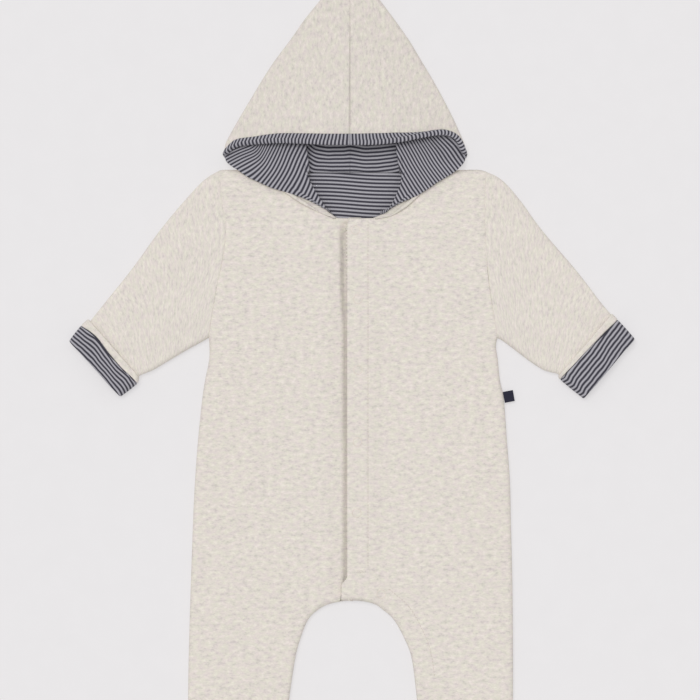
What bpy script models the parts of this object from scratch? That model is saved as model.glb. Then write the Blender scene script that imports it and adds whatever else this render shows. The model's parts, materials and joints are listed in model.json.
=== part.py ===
# Hooded padded baby overalls, laid flat on a table with the front up.
# Lengths below are in millimetres and become metres in the mesh.
# X runs to the right as seen from above, Y towards the hood tip, Z up from the table.
import math

import bmesh
import bpy
from mathutils import Vector

MM = 0.001

# Cloth and how thick it lies
WALL = 3.0             # padded shell cloth
LINING = 1.0           # striped lining cloth
CUFF_WALL = 2.5        # turned-up sleeve end
GAP = 0.3              # clearance between neighbouring pieces
LAID = 9.5             # front and back laid on each other
FOLD = LAID / 2        # radius of the rounded side folds, and height of the side seams
ARC = (0.0, 30.0, 60.0, 90.0)   # degrees round a fold where sections are taken

# Front closing
PLACKET_LIFT = 1.7     # right front where it laps over
UNDERLAP_DROP = 1.6    # left front where it is pressed down under it
PLACKET_X = 16.0       # right end of the overlap
PLACKET_FADE = 17.0    # width over which the right front comes down again
UNDERLAP_X = -26.0     # where the left front starts to go down
UNDERLAP_FADE = 15.0

# Hood
HOOD_X = -1.95         # centre seam
HOOD_TIP = 392.4
HOOD_FOLD = 4.25       # radius of the side folds
MOUTH_RISE = 15.0      # how far the forehead edge stands above the fold
TIP_FLAT = 10.0        # length of the rounded nose at the tip
CREASE_AT = 0.42       # share of the neck seam length that lies in the front
OVER_BODY = LAID + 0.4  # underside of the hood where it lies on the shoulders
NECK_DEPTH = 5.0       # height down to which the hood's neck edge goes in the neck hole
RAMP_START = 200.0     # the hood comes down to the table past the shoulders
RAMP_END = 216.0
RIDGE_LENGTH = 40.0    # extra length of that ramp along the fold beside the neck
MOUTH_BEND = 0.25      # share of the rows over which the forehead curve fades out
FACE_BEND = 0.3        # the same for the curve of the face edge
SEAM_STEP = 3.0        # turn of the back neck seam under the hood
NECK_CURL = 0.25       # how far the hood's neck edge leans in where it goes down
TIP_WALL = 0.65        # share of the wall left at the tip
BINDING_LIP = 0.8
BINDING_GAP = 0.55     # over the curved edge

SHELL_COLOUR = (0.74, 0.68, 0.61, 1.0)
NAVY = (0.035, 0.04, 0.075, 1.0)
STRIPE_COLOUR = (0.24, 0.25, 0.30, 1.0)
SNAP_COLOUR = (0.76, 0.69, 0.62, 1.0)

# Outline tables, one row for each station, x and y in millimetres.
# Sleeve, upper edge from the shoulder to the end inside the cuff
SLEEVE_TOP = {
    "left": ((-129.7, 196.9), (-144.3, 187.7), (-162.8, 168.2), (-187.2, 138.9), (-215.5, 99.9),
             (-238.9, 70.7), (-250.0, 56.8), (-255.6, 49.8), (-262.3, 42.9), (-271.5, 31.1)),
    "right": ((130.7, 196.0), (146.2, 187.7), (163.8, 168.2), (185.2, 138.9), (218.4, 99.9),
              (240.8, 70.7), (249.5, 60.2), (253.0, 56.0), (259.3, 47.3), (271.3, 32.8)),
}
# Sleeve, lower edge from the underarm to the end inside the cuff
SLEEVE_UNDER = {
    "left": ((-139.9, 34.1), (-143.3, 31.7), (-160.9, 21.9), (-177.4, 12.2), (-192.1, 3.4),
             (-200.0, -0.2), (-206.9, -3.1), (-215.8, -10.4), (-225.8, -19.2)),
    "right": ((141.9, 33.6), (147.2, 30.7), (158.9, 21.9), (171.6, 12.2), (185.2, 3.2),
              (193.0, 0.4), (201.3, -1.9), (212.4, -10.4), (225.4, -21.0)),
}
# Armhole seam from the shoulder to the underarm
ARMHOLE = {
    "left": ((-129.7, 196.9), (-126.3, 166.7), (-123.0, 142.8), (-124.8, 116.5), (-132.6, 77.5),
             (-139.9, 34.1)),
    "right": ((130.7, 196.0), (129.7, 175.0), (129.7, 142.8), (131.1, 110.2), (134.5, 77.5),
              (141.9, 33.6)),
}
# Side seam from the underarm to the hip
SIDE = {
    "left": ((-139.9, 34.1), (-139.1, 25.8), (-139.4, 12.2), (-143.3, -7.3), (-146.2, -26.8),
             (-150.2, -65.8), (-153.1, -104.8), (-155.0, -143.8), (-157.2, -205.0)),
    "right": ((141.9, 33.6), (140.4, 25.8), (142.3, 12.2), (144.3, -7.3), (148.2, -26.8),
              (151.1, -65.8), (154.0, -104.8), (155.0, -143.8), (156.5, -205.0)),
}
# Outside of the leg from the hip to the ankle
LEG_OUT = {
    "left": ((-157.2, -205.0), (-158.9, -260.8), (-159.9, -319.3), (-158.4, -358.3),
             (-156.0, -392.4)),
    "right": ((156.5, -205.0), (157.0, -260.8), (157.0, -319.3), (156.0, -358.3),
              (154.0, -392.4)),
}
# Inside of the leg from the crotch to the ankle
LEG_IN = {
    "left": ((0.0, -222.3), (-12.7, -223.8), (-24.4, -226.7), (-33.1, -231.6), (-42.9, -241.3),
             (-50.7, -260.8), (-55.6, -280.3), (-61.4, -319.3), (-65.8, -358.3),
             (-69.2, -392.4)),
    "right": ((0.0, -222.3), (13.7, -223.8), (23.4, -226.7), (30.2, -231.6), (40.9, -241.3),
              (51.7, -260.8), (58.5, -280.3), (63.4, -319.3), (67.3, -358.3), (70.2, -392.4)),
}
# Shoulder fold from the armhole towards the neck
SHOULDER = {
    "left": ((-129.7, 196.9), (-123.8, 197.7), (-104.3, 197.4), (-75.0, 196.6), (-58.0, 194.4),
             (-46.0, 194.0)),
    "right": ((130.7, 196.0), (122.8, 197.7), (103.3, 197.4), (80.0, 196.6), (63.0, 194.4),
              (51.9, 194.0)),
}
# Seam between the fronts and the hood, from the centre front to the shoulder
NECK = {
    "left": ((-17.6, 151.5), (-25.1, 159.8), (-34.9, 175.8), (-43.9, 190.8), (-45.3, 194.7)),
    "right": ((27.3, 150.8), (37.2, 158.6), (43.7, 173.5), (50.9, 191.6), (51.2, 194.7)),
}
NECK_MARGIN = (0.4, 0.3)   # across and down from that seam to the edge of the front
# Front edges from the neck to the crotch: hidden underlap left, visible lap right
FRONT_EDGE = {
    "left": ((13.7, 149.9), (13.7, 100.0), (13.7, 0.0), (13.7, -190.0), (2.0, -210.0),
             (-10.6, -216.4), (-11.2, -221.6)),
    "right": ((-2.9, 150.2), (-4.3, 144.8), (-4.9, 140.9), (-4.9, -200.4), (-10.2, -206.2),
              (-10.7, -221.9)),
}
BACK_NECK_Y = 194.0
HOOD_NECK_Y = 194.7    # edge of the hood behind the back neck
CHEST_Y = 30.0         # centre line beside the underarms
# Hood outline from the corner of the mouth to the tip
HOOD_SIDE = {
    "left": ((-124.8, 213.0), (-124.2, 219.0), (-121.9, 226.7), (-111.1, 246.2), (-99.5, 265.7),
             (-87.8, 285.2), (-75.1, 304.7), (-60.4, 324.2), (-46.8, 343.7), (-31.2, 363.2),
             (-23.4, 372.9), (-13.7, 382.7), (-8.5, 388.2), (-4.8, 391.6), (-2.1, 392.4)),
    "right": ((111.1, 213.0), (110.6, 219.0), (108.2, 226.7), (99.5, 246.2), (89.7, 265.7),
              (79.0, 285.2), (67.3, 304.7), (55.6, 324.2), (41.9, 343.7), (27.3, 363.2),
              (19.5, 372.9), (10.2, 382.7), (4.6, 388.2), (0.9, 391.6), (-1.8, 392.4)),
}
# Forehead edge from the centre to the corner of the mouth
FOREHEAD = {
    "left": ((-2.1, 225.2), (-26.3, 224.4), (-50.7, 224.2), (-75.1, 224.7), (-93.6, 222.8),
             (-110.2, 221.0), (-118.5, 217.6), (-124.8, 213.0)),
    "right": ((-1.8, 225.2), (22.4, 225.4), (46.8, 226.7), (66.3, 229.8), (80.9, 231.6),
              (95.5, 230.0), (105.3, 223.5), (111.1, 213.0)),
}
# Face edge from the corner of the mouth to the centre front
FACE = {
    "left": ((-124.8, 213.0), (-122.5, 207.2), (-117.0, 201.3), (-110.2, 196.9), (-101.9, 191.1),
             (-91.6, 186.2), (-78.0, 179.9), (-64.8, 173.5), (-47.8, 164.3), (-36.6, 159.4),
             (-25.3, 154.5), (-17.6, 151.5)),
    "right": ((111.1, 213.0), (110.2, 208.2), (106.3, 201.8), (101.4, 196.9), (94.1, 192.1),
              (81.9, 184.8), (71.7, 177.0), (65.3, 171.1), (51.3, 160.9), (39.0, 154.0),
              (33.0, 152.0), (27.3, 150.8)),
}
# Turned-up cuffs: upper and lower corner of the fold, the lining band and the hem strip
CUFF = {
    "left": {"fold": ((-275.9, 30.7), (-226.2, -23.9)), "band": ((-264.2, 45.8), (-209.1, -10.7)),
             "hem": ((-257.4, 52.2), (-204.8, -5.4))},
    "right": {"fold": ((275.9, 32.7), (226.2, -25.8)), "band": ((261.3, 49.7), (202.8, -6.8)),
              "hem": ((255.0, 58.5), (198.9, -4.3))},
}
CUFF_HEIGHT = 12.6
CUFF_LIFT = CUFF_WALL + GAP     # sleeve end above the table, inside the cuff
SNAPS = ((3.4, 138.9), (5.8, 71.2), (5.8, 2.4), (5.3, -67.8), (4.6, -137.0), (28.5, -216.0))
SNAP_RADIUS = 4.1
SNAP_WIRE = 0.55
LABEL = ((147.0, -19.0), (157.0, -17.1), (158.9, -27.8), (149.1, -29.7))
LABEL_THICKNESS = 1.2

for old in list(bpy.data.objects):
    bpy.data.objects.remove(old, do_unlink=True)
garment = bpy.data.collections.new("padded_baby_overalls")
bpy.context.scene.collection.children.link(garment)


def smooth(value):
    """Ease from 0 to 1."""
    t = min(1.0, max(0.0, value))
    return t * t * (3.0 - 2.0 * t)


def mix(a, b, t):
    """Point between two points."""
    return tuple(p + (q - p) * t for p, q in zip(a, b))


def through(points, steps=6):
    """Close points on a smooth curve through a short table."""
    result = []
    last = len(points) - 1
    for i in range(last):
        before = points[max(0, i - 1)]
        start = points[i]
        end = points[i + 1]
        after = points[min(last, i + 2)]
        for k in range(steps):
            t = k / steps
            result.append(tuple(
                0.5 * (2 * b + (c - a) * t + (2 * a - 5 * b + 4 * c - d) * t * t
                       + (3 * b - a - 3 * c + d) * t ** 3)
                for a, b, c, d in zip(before, start, end, after)))
    result.append(tuple(points[-1]))
    return result


def at(curve, share):
    """Point at a share of a curve's length."""
    lengths = [math.dist(p, q) for p, q in zip(curve, curve[1:])]
    left = min(1.0, max(0.0, share)) * sum(lengths)
    for i, length in enumerate(lengths):
        if left <= length or i == len(lengths) - 1:
            return mix(curve[i], curve[i + 1], left / length if length else 0.0)
        left -= length


def at_height(curve, y):
    """Point of a rising or falling curve at one y."""
    for p, q in zip(curve, curve[1:]):
        if min(p[1], q[1]) <= y <= max(p[1], q[1]) and p[1] != q[1]:
            return mix(p, q, (y - p[1]) / (q[1] - p[1]))
    return curve[0] if abs(curve[0][1] - y) < abs(curve[-1][1] - y) else curve[-1]


sleeve_top = {side: through(table) for side, table in SLEEVE_TOP.items()}
sleeve_under = {side: through(table) for side, table in SLEEVE_UNDER.items()}
armhole = {side: through(table) for side, table in ARMHOLE.items()}
body_side = {side: through(table) for side, table in SIDE.items()}
leg_out = {side: through(table) for side, table in LEG_OUT.items()}
leg_in = {side: through(table) for side, table in LEG_IN.items()}
shoulder = {side: through(table) for side, table in SHOULDER.items()}
neck = {side: through(table, 3) for side, table in NECK.items()}

# Folded edges of body, legs and sleeves, clockwise seen from above
EDGES = (
    sleeve_top["left"][::-1] + shoulder["left"],
    shoulder["right"][::-1] + sleeve_top["right"],
    sleeve_under["right"][::-1] + body_side["right"] + leg_out["right"],
    leg_in["right"][::-1] + leg_in["left"],
    leg_out["left"][::-1] + body_side["left"][::-1] + sleeve_under["left"],
)


def nearest_edge(x, y):
    """Distance to the nearest folded edge, and the direction straight out over it."""
    best = 1e9
    out = (0.0, 1.0)
    for edge in EDGES:
        for p, q in zip(edge, edge[1:]):
            dx = q[0] - p[0]
            dy = q[1] - p[1]
            size = dx * dx + dy * dy
            if size < 1e-9:
                continue
            t = min(1.0, max(0.0, ((x - p[0]) * dx + (y - p[1]) * dy) / size))
            ax = p[0] + dx * t - x
            ay = p[1] + dy * t - y
            d = math.hypot(ax, ay)
            if d < best:
                best = d
                root = math.sqrt(size)
                out = (ax / d, ay / d) if d > GAP else (-dy / root, dx / root)
    if best <= GAP:
        best = 0.0
    return best, out[0], out[1]


def fold_wall(x, y, middle, half, wall, upper, extra=0.0):
    """Outer and inner point of a wall that rounds down at the folded edges."""
    d, ox, oy = nearest_edge(x, y)
    c = max(0.0, 1.0 - d / half)
    s = math.sqrt(1.0 - c * c)
    sign = 1.0 if upper else -1.0
    outer = (x, y, middle + sign * (half + extra) * s)
    inner = (x - ox * c * wall, y - oy * c * wall, outer[2] - sign * s * wall)
    return outer, inner


def material(name, colour, roughness):
    made = bpy.data.materials.new(name)
    made.use_nodes = True
    shader = made.node_tree.nodes["Principled BSDF"]
    shader.inputs["Base Color"].default_value = colour
    shader.inputs["Roughness"].default_value = roughness
    shader.inputs["Metallic"].default_value = 0.0
    return made


def add_object(name, mesh, colour, roughness=0.9):
    piece = bpy.data.objects.new(name, mesh)
    piece.data.materials.append(material(name, colour, roughness))
    garment.objects.link(piece)
    return piece


def cloth(name, patches, colour):
    """Closed wall of cloth from grids of (outer, inner) point pairs, joined where they meet."""
    index = {}
    outer = []
    inner = []
    faces = []
    for grid in patches:
        ids = []
        for row in grid:
            line = []
            for out_point, in_point in row:
                key = tuple(round(c, 3) for c in out_point)
                if key not in index:
                    index[key] = len(outer)
                    outer.append(out_point)
                    inner.append(in_point)
                line.append(index[key])
            ids.append(line)
        for low, high in zip(ids, ids[1:]):
            for k in range(len(low) - 1):
                corners = []
                for v in (low[k], low[k + 1], high[k + 1], high[k]):
                    if v not in corners:
                        corners.append(v)
                if len(corners) > 2:
                    faces.append(tuple(corners))
    used = {}
    for face in faces:
        for a, b in zip(face, face[1:] + face[:1]):
            used[frozenset((a, b))] = used.get(frozenset((a, b)), 0) + 1
    count = len(outer)
    solid = list(faces)
    for face in faces:
        solid.append(tuple(v + count for v in reversed(face)))
        for a, b in zip(face, face[1:] + face[:1]):
            if used[frozenset((a, b))] == 1:
                solid.append((b, a, a + count, b + count))
    mesh = bpy.data.meshes.new(name)
    points = [tuple(c * MM for c in p) for p in outer + inner]
    mesh.from_pydata(points, [], solid)
    shape = bmesh.new()
    shape.from_mesh(mesh)
    bmesh.ops.triangulate(shape, faces=shape.faces[:])
    bmesh.ops.recalc_face_normals(shape, faces=shape.faces[:])
    if shape.calc_volume(signed=True) < 0.0:
        bmesh.ops.reverse_faces(shape, faces=shape.faces[:])
    shape.to_mesh(mesh)
    shape.free()
    mesh.shade_smooth()
    mesh.set_sharp_from_angle(angle=math.radians(40))
    return add_object(name, mesh, colour)


# Body panels. Stations down the panel, as shares of the armhole, side and leg stretches
NEAR_FOLD = tuple(FOLD * (1.0 - math.cos(math.radians(a))) for a in ARC)
ARMHOLE_LENGTH = 163.0
SIDE_LENGTH = 252.0
STATIONS = (
    [("armhole", d / ARMHOLE_LENGTH) for d in NEAR_FOLD]
    + [("armhole", share) for share in (0.1, 0.22, 0.36, 0.5, 0.64, 0.78, 0.88, 0.95)]
    + [("side", share) for share in (0.0, 0.06, 0.15, 0.3, 0.47, 0.64, 0.8, 0.92)]
    + [("side", 1.0 - d / SIDE_LENGTH) for d in NEAR_FOLD[:0:-1]]
    + [("leg", share) for share in (0.0, 0.055, 0.11, 0.17, 0.23, 0.3, 0.42, 0.6, 0.8, 1.0)]
)
FOLDS = len(ARC) - 1   # sections round one fold
ACROSS = 14            # spaces between the columns of a panel
TOP_REACH = 0.8        # how far down the armhole the shape of the top edge fades out


def shares_across(width, folded_inside):
    """Places of the columns across one row: close together at the folds, else even."""
    near = [d / width for d in NEAR_FOLD]
    even = ACROSS - FOLDS * (2 if folded_inside else 1)
    last = 1.0 - near[-1] if folded_inside else 1.0
    shares = near[:-1] + [near[-1] + (last - near[-1]) * k / even for k in range(even + 1)]
    if folded_inside:
        shares += [1.0 - s for s in near[-2::-1]]
    return shares


def top_row(pieces):
    """Columns along the top edge, given as curves with the number of spaces on each."""
    row = []
    for number, (curve, spaces) in enumerate(pieces):
        if number == 0:
            length = sum(math.dist(p, q) for p, q in zip(curve, curve[1:]))
            near = [d / length for d in NEAR_FOLD]
            row += [at(curve, s) for s in near[:-1]]
            first = near[-1]
            spaces -= FOLDS
            row += [at(curve, first + (1.0 - first) * k / spaces) for k in range(spaces + 1)]
        else:
            row += [at(curve, k / spaces) for k in range(1, spaces + 1)]
    return row


def panel_plan(side, inner_top, inner_edge, inner_leg, top_pieces):
    """Plan points of one panel, in rows from the outer to the inner edge."""
    top = top_row(top_pieces)
    start = armhole[side][0]
    rows = []
    for stretch, share in STATIONS:
        if stretch == "armhole":
            ends = (at(armhole[side], share), at(inner_top, share))
        elif stretch == "side":
            ends = (at(body_side[side], share), at(inner_edge, share))
        else:
            ends = (at(leg_out[side], share), at(inner_leg, share))
        fade = 0.0
        if stretch == "armhole" and share < TOP_REACH:
            fade = (1.0 - share / TOP_REACH) ** 2
        row = []
        base_shares = shares_across(math.dist(start, inner_top[0]), False)
        for k, s in enumerate(shares_across(math.dist(*ends), stretch == "leg")):
            x, y = mix(ends[0], ends[1], s)
            base = mix(start, inner_top[0], base_shares[k])
            row.append((x + (top[k][0] - base[0]) * fade, y + (top[k][1] - base[1]) * fade))
        rows.append(row)
    return rows


def front_lift(side, x):
    """Extra height of a front where the placket laps."""
    if side == "left":
        return -UNDERLAP_DROP * smooth((x - UNDERLAP_X) / UNDERLAP_FADE)
    return PLACKET_LIFT * (1.0 - smooth((x - PLACKET_X) / PLACKET_FADE))


def clear_of_sleeve(side, column, outer, inner):
    """Keep the inside of the outermost column from leaning out past its edge."""
    if column > 0:
        return inner
    keep = min if side == "right" else max
    return (keep(outer[0], inner[0]),) + inner[1:]


def front(side):
    sign = -1.0 if side == "left" else 1.0
    edge = through(FRONT_EDGE[side], 3)
    split = next(i for i, p in enumerate(edge) if p[1] < CHEST_Y)
    turn = at_height(edge, CHEST_Y)
    upper = edge[:split] + [turn]
    lower = [turn] + edge[split:]
    corner = edge[-1]
    beyond = [p for p in leg_in[side] if p[0] * sign > corner[0] * sign + 1.0]
    meets = [corner] + ([p for p in leg_in["left"][:4][::-1] if p[0] > corner[0] + 1.0]
                        if side == "right" else []) + beyond
    neck_edge = [(p[0] + sign * NECK_MARGIN[0], p[1] - NECK_MARGIN[1]) for p in neck[side]]
    top = ((shoulder[side], 7), (shoulder[side][-1:] + neck_edge[-2::-1], 4),
           ([neck_edge[0], edge[0]], 3))
    rows = panel_plan(side, upper, lower, meets, top)
    seam = FOLD + GAP / 2
    grid = []
    for row in rows:
        line = []
        for k, (x, y) in enumerate(row):
            outer, inner = fold_wall(x, y, FOLD, FOLD, WALL, True, front_lift(side, x))
            inner = clear_of_sleeve(side, k, outer, inner)
            line.append((outer[:2] + (max(outer[2], seam),), inner[:2] + (max(inner[2], seam),)))
        grid.append(line)
    return cloth("front_" + side, [grid], SHELL_COLOUR)


def back():
    seam = FOLD - GAP / 2
    patches = []
    for side in ("left", "right"):
        upper = [(0.0, BACK_NECK_Y), (0.0, CHEST_Y)]
        lower = [(0.0, CHEST_Y), leg_in[side][0]]
        top = ((shoulder[side], 9), ([shoulder[side][-1], upper[0]], ACROSS - 9))
        rows = panel_plan(side, upper, lower, leg_in[side], top)
        grid = []
        for row in rows:
            line = []
            for k, (x, y) in enumerate(row):
                outer, inner = fold_wall(x, y, FOLD, FOLD, WALL, False)
                inner = clear_of_sleeve(side, k, outer, inner)
                line.append((outer[:2] + (min(outer[2], seam),),
                             inner[:2] + (min(inner[2], seam),)))
            grid.append(line)
        patches.append(grid)
    return cloth("back", patches, SHELL_COLOUR)


# Sleeves and cuffs, with shares from the armhole to the end of the sleeve
SLEEVE_STATIONS = (0.0, 0.1, 0.22, 0.35, 0.48, 0.6, 0.7, 0.8, 0.9, 1.0)
SLEEVE_COLUMNS = 8
CUFF_RISE = (0.48, 0.22)   # where the sleeve leaves the table, as shares of its length
SLEEVE_GAP = 0.75      # at the curved armhole seam, so that its chords stay clear


def sleeve(side):
    top_curve = sleeve_top[side]
    low_curve = sleeve_under[side]
    end = (top_curve[-1], low_curve[-1])
    rings = []
    for a in SLEEVE_STATIONS:
        rise = CUFF_LIFT * smooth((a - CUFF_RISE[0]) / CUFF_RISE[1])
        high = LAID + GAP * smooth((a - CUFF_RISE[0]) / CUFF_RISE[1])
        half = (high - rise) / 2
        middle = (high + rise) / 2
        upper = at(top_curve, a)
        lower = at(low_curve, a)
        width = math.dist(upper, lower)
        near = [half * (1.0 - math.cos(math.radians(deg))) / width for deg in ARC]
        inside = [near[-1] + (1.0 - 2 * near[-1]) * k / SLEEVE_COLUMNS
                  for k in range(SLEEVE_COLUMNS + 1)]
        shares = near[:-1] + inside + [1.0 - s for s in near[-2::-1]]
        plan = []
        for b in shares:
            across = mix(upper, lower, b)
            hole = at(armhole[side], b)
            hole_line = mix(armhole[side][0], armhole[side][-1], b)
            x = across[0] + (1.0 - a) * (hole[0] - hole_line[0])
            y = across[1] + (1.0 - a) * (hole[1] - hole_line[1])
            if a == 0.0:
                x += (-1.0 if side == "left" else 1.0) * SLEEVE_GAP
            plan.append((x, y))
        ring = [fold_wall(x, y, middle, half, WALL, True) for x, y in plan]
        under = [fold_wall(x, y, middle, half, WALL, False) for x, y in plan]
        ring[0] = (ring[0][0][:2] + (middle,), ring[0][1][:2] + (middle,))
        ring[-1] = (ring[-1][0][:2] + (middle,), ring[-1][1][:2] + (middle,))
        under[0] = ring[0]
        under[-1] = ring[-1]
        ring += under[-2::-1]
        if a == 0.0:
            ring = [(out, (out[0],) + into[1:]) for out, into in ring]
        rings.append(ring)
    return cloth("sleeve_" + side, [rings], SHELL_COLOUR)


def flat_ring(first, last, low, high, wall, columns=6):
    """Closed section of a flattened tube between two plan points, as (outer, inner) pairs."""
    half = (high - low) / 2
    middle = (high + low) / 2
    width = math.dist(first, last)
    ux = (last[0] - first[0]) / width
    uy = (last[1] - first[1]) / width
    ring = []

    def place(along, z):
        return (first[0] + ux * along, first[1] + uy * along, z)

    for k in range(columns + 1):
        s = half + (width - 2 * half) * k / columns
        ring.append((place(s, high), place(s, high - wall)))
    for deg in (60, 30, 0, -30, -60):
        c = math.cos(math.radians(deg))
        s = math.sin(math.radians(deg))
        centre = width - half
        ring.append((place(centre + half * c, middle + half * s),
                     place(centre + (half - wall) * c, middle + (half - wall) * s)))
    for k in range(columns, -1, -1):
        s = half + (width - 2 * half) * k / columns
        ring.append((place(s, low), place(s, low + wall)))
    for deg in (-60, -30, 0, 30, 60):
        c = math.cos(math.radians(deg))
        s = math.sin(math.radians(deg))
        ring.append((place(half - half * c, middle + half * s),
                     place(half - (half - wall) * c, middle + (half - wall) * s)))
    ring.append(ring[0])
    return ring


def cuff(side):
    """Turned-up lining band with a rounded fold, and the hem strip above it."""
    fold = CUFF[side]["fold"]
    band = CUFF[side]["band"]
    hem = CUFF[side]["hem"]
    rings = []
    for share, inset in ((0.0, 0.9), (0.06, 0.2), (0.4, 0.0), (0.7, 0.0), (1.0, 0.3)):
        ends = (mix(fold[0], band[0], share), mix(fold[1], band[1], share))
        width = math.dist(*ends)
        first = mix(ends[0], ends[1], inset / width)
        last = mix(ends[1], ends[0], inset / width)
        rings.append(flat_ring(first, last, inset, CUFF_HEIGHT - inset, CUFF_WALL - inset))
    cloth("cuff_" + side, [rings], STRIPE_COLOUR)
    rings = []
    length = math.dist(band[0], hem[0])
    for share in (GAP / length, 0.5, 1.0):
        ends = (mix(band[0], hem[0], share), mix(band[1], hem[1], share))
        rings.append(flat_ring(ends[0], ends[1], 0.2, CUFF_HEIGHT - 0.2, CUFF_WALL - 0.2))
    cloth("cuff_hem_" + side, [rings], SHELL_COLOUR)


# Hood
STEP = 1e-6            # marks the two sides of the crease beside the neck
HOOD_ROWS = (0.0, 0.055, 0.12, 0.2, 0.31, CREASE_AT - STEP, CREASE_AT + STEP, 0.5, 0.6, 0.7, 0.8,
             0.88, 0.94, 0.975, 1.0)
TOP_SHARES = (0.0, 0.05, 0.22, 0.4, 0.58, 0.76, 0.9)
UNDER_SHARES = (0.0, 0.12, 0.25, 0.38, 0.5, 0.62, 0.74, 0.85, 0.94)


def hood_field(side, x, y, t):
    """Height of the hood's underside above the table."""
    if t > CREASE_AT:
        return 0.0
    end = RAMP_END + RIDGE_LENGTH * smooth(t / CREASE_AT)
    over = OVER_BODY + (max(0.0, front_lift(side, x)) if side == "right" else 0.0)
    return over * smooth((end - y) / (end - RAMP_START))


def hood_rows(side):
    """Outer points of half the hood: over the top, round the side fold and back underneath."""
    sign = -1.0 if side == "left" else 1.0
    outline = through(HOOD_SIDE[side], 4)
    forehead = through(FOREHEAD[side], 4)
    face = through(FACE[side], 4)
    centre = HOOD_X + sign * GAP / 2
    rows = []
    for t in HOOD_ROWS:
        middle_top = (centre, forehead[0][1] + (HOOD_TIP - TIP_FLAT - forehead[0][1]) * t)
        corner_y = outline[0][1] + (HOOD_TIP - outline[0][1]) * t
        corner = at_height(outline, corner_y) if 0.0 < t < 1.0 else outline[0 if t == 0.0 else -1]
        if t == 1.0:
            corner = (centre, HOOD_TIP)
        if t < CREASE_AT:
            seam_end = at(neck[side], t / (CREASE_AT - STEP))
        else:
            share = (t - CREASE_AT) / (1.0 - CREASE_AT)
            start_x = neck[side][-1][0] - sign * SEAM_STEP
            seam_end = (start_x + (centre - start_x) * share, HOOD_NECK_Y)
        base = hood_field(side, corner[0], corner[1], t)
        row = []
        width = math.dist(middle_top, corner)
        near = [HOOD_FOLD * (1.0 - math.cos(math.radians(a))) for a in ARC]
        rise = MOUTH_RISE * (1.0 - t) ** 1.5
        for w in TOP_SHARES + tuple(1.0 for _ in near):
            share = w * (1.0 - near[-1] / width)
            lift = 1.0
            if w == 1.0:
                k = len(row) - len(TOP_SHARES)
                share = 1.0 - near[3 - k] / width
                lift = math.sin(math.radians(ARC[3 - k]))
            x, y = mix(middle_top, corner, share)
            bend = max(0.0, 1.0 - t / MOUTH_BEND) ** 2
            if bend:
                exact = at(forehead, share)
                line = mix(middle_top, corner, share)
                x += (exact[0] - line[0]) * bend
                y += (exact[1] - line[1]) * bend
            if w == 0.0:
                x = centre
            arch = (1.0 - max(0.0, (share - 0.05) / 0.95) ** 2) ** 2
            row.append((x, y, base + HOOD_FOLD + HOOD_FOLD * lift + rise * arch))
        width = math.dist(corner, seam_end)
        first = near[-1] / width
        shares = [d / width for d in near[1:3]]
        shares += [first + (1.0 - first) * s for s in UNDER_SHARES] + [1.0, 1.0]
        for k, v in enumerate(shares):
            lift = math.sin(math.radians(ARC[k + 1])) if k < 2 else 1.0
            x, y = mix(corner, seam_end, v)
            bend = max(0.0, 1.0 - t / FACE_BEND) ** 2
            if bend:
                exact = at(face, v)
                x += (exact[0] - x) * bend
                y += (exact[1] - y) * bend
            if t == 1.0:
                x = centre
            z = hood_field(side, x, y, t) + HOOD_FOLD * (1.0 - lift)
            if k == len(shares) - 2 and t > CREASE_AT:
                y += SEAM_STEP
            if k == len(shares) - 1 and t < CREASE_AT:
                x -= sign * NECK_CURL
                z = NECK_DEPTH
            row.append((x, y, z))
        rows.append(row)
    return rows


def outward(rows, centre_column, centre_row):
    """Unit normals of a grid of points; those on the centre seam keep to its plane."""
    points = [[Vector(p) for p in row] for row in rows]
    normals = []
    for i, row in enumerate(points):
        line = []
        for j, _ in enumerate(row):
            along = row[min(j + 1, len(row) - 1)] - row[max(j - 1, 0)]
            down = points[min(i + 1, len(points) - 1)][j] - points[max(i - 1, 0)][j]
            normal = along.cross(down)
            if j == centre_column or i == centre_row:
                normal.x = 0.0
            line.append(normal.normalized())
        normals.append(line)
    flip = -1.0 if normals[2][2].z < 0 else 1.0
    return [[n * flip for n in line] for line in normals]


def moved(point, normal, distance):
    return tuple(Vector(point) + normal * distance)


def hood(side):
    rows = hood_rows(side)
    normals = outward(rows, 0, len(rows) - 1)
    grid = []
    for t, row, line in zip(HOOD_ROWS, rows, normals):
        wall = WALL * (1.0 - (1.0 - TIP_WALL) * smooth((t - 0.8) / 0.2))
        grid.append([(p, moved(p, n, -wall)) for p, n in zip(row, line)])
    cloth("hood_" + side, [grid], SHELL_COLOUR)
    hood_lining(side, rows, normals)
    hood_binding(side, rows, normals)


LINING_START = len(TOP_SHARES) + len(ARC) + 4
LINING_MARGIN = (0.03, 0.32)   # share of the first row left plain, at the corner and the front


def hood_lining(side, rows, normals):
    columns = range(LINING_START, len(rows[0]))
    grid = []
    for i in range(len(rows)):
        line = []
        for j in columns:
            point = Vector(rows[i][j])
            normal = normals[i][j]
            if i == 0:
                share = (j - LINING_START) / (len(rows[0]) - 1 - LINING_START)
                bare = LINING_MARGIN[0] + (LINING_MARGIN[1] - LINING_MARGIN[0]) * share ** 2
                point = point.lerp(Vector(rows[1][j]), bare)
                normal = normal.lerp(normals[1][j], bare).normalized()
            line.append((moved(point, normal, -WALL - GAP),
                         moved(point, normal, -WALL - GAP - LINING)))
        grid.append(line)
    cloth("hood_lining_" + side, [grid], STRIPE_COLOUR)


BINDING_COLUMNS = len(TOP_SHARES) + FOLDS - 1


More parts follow.
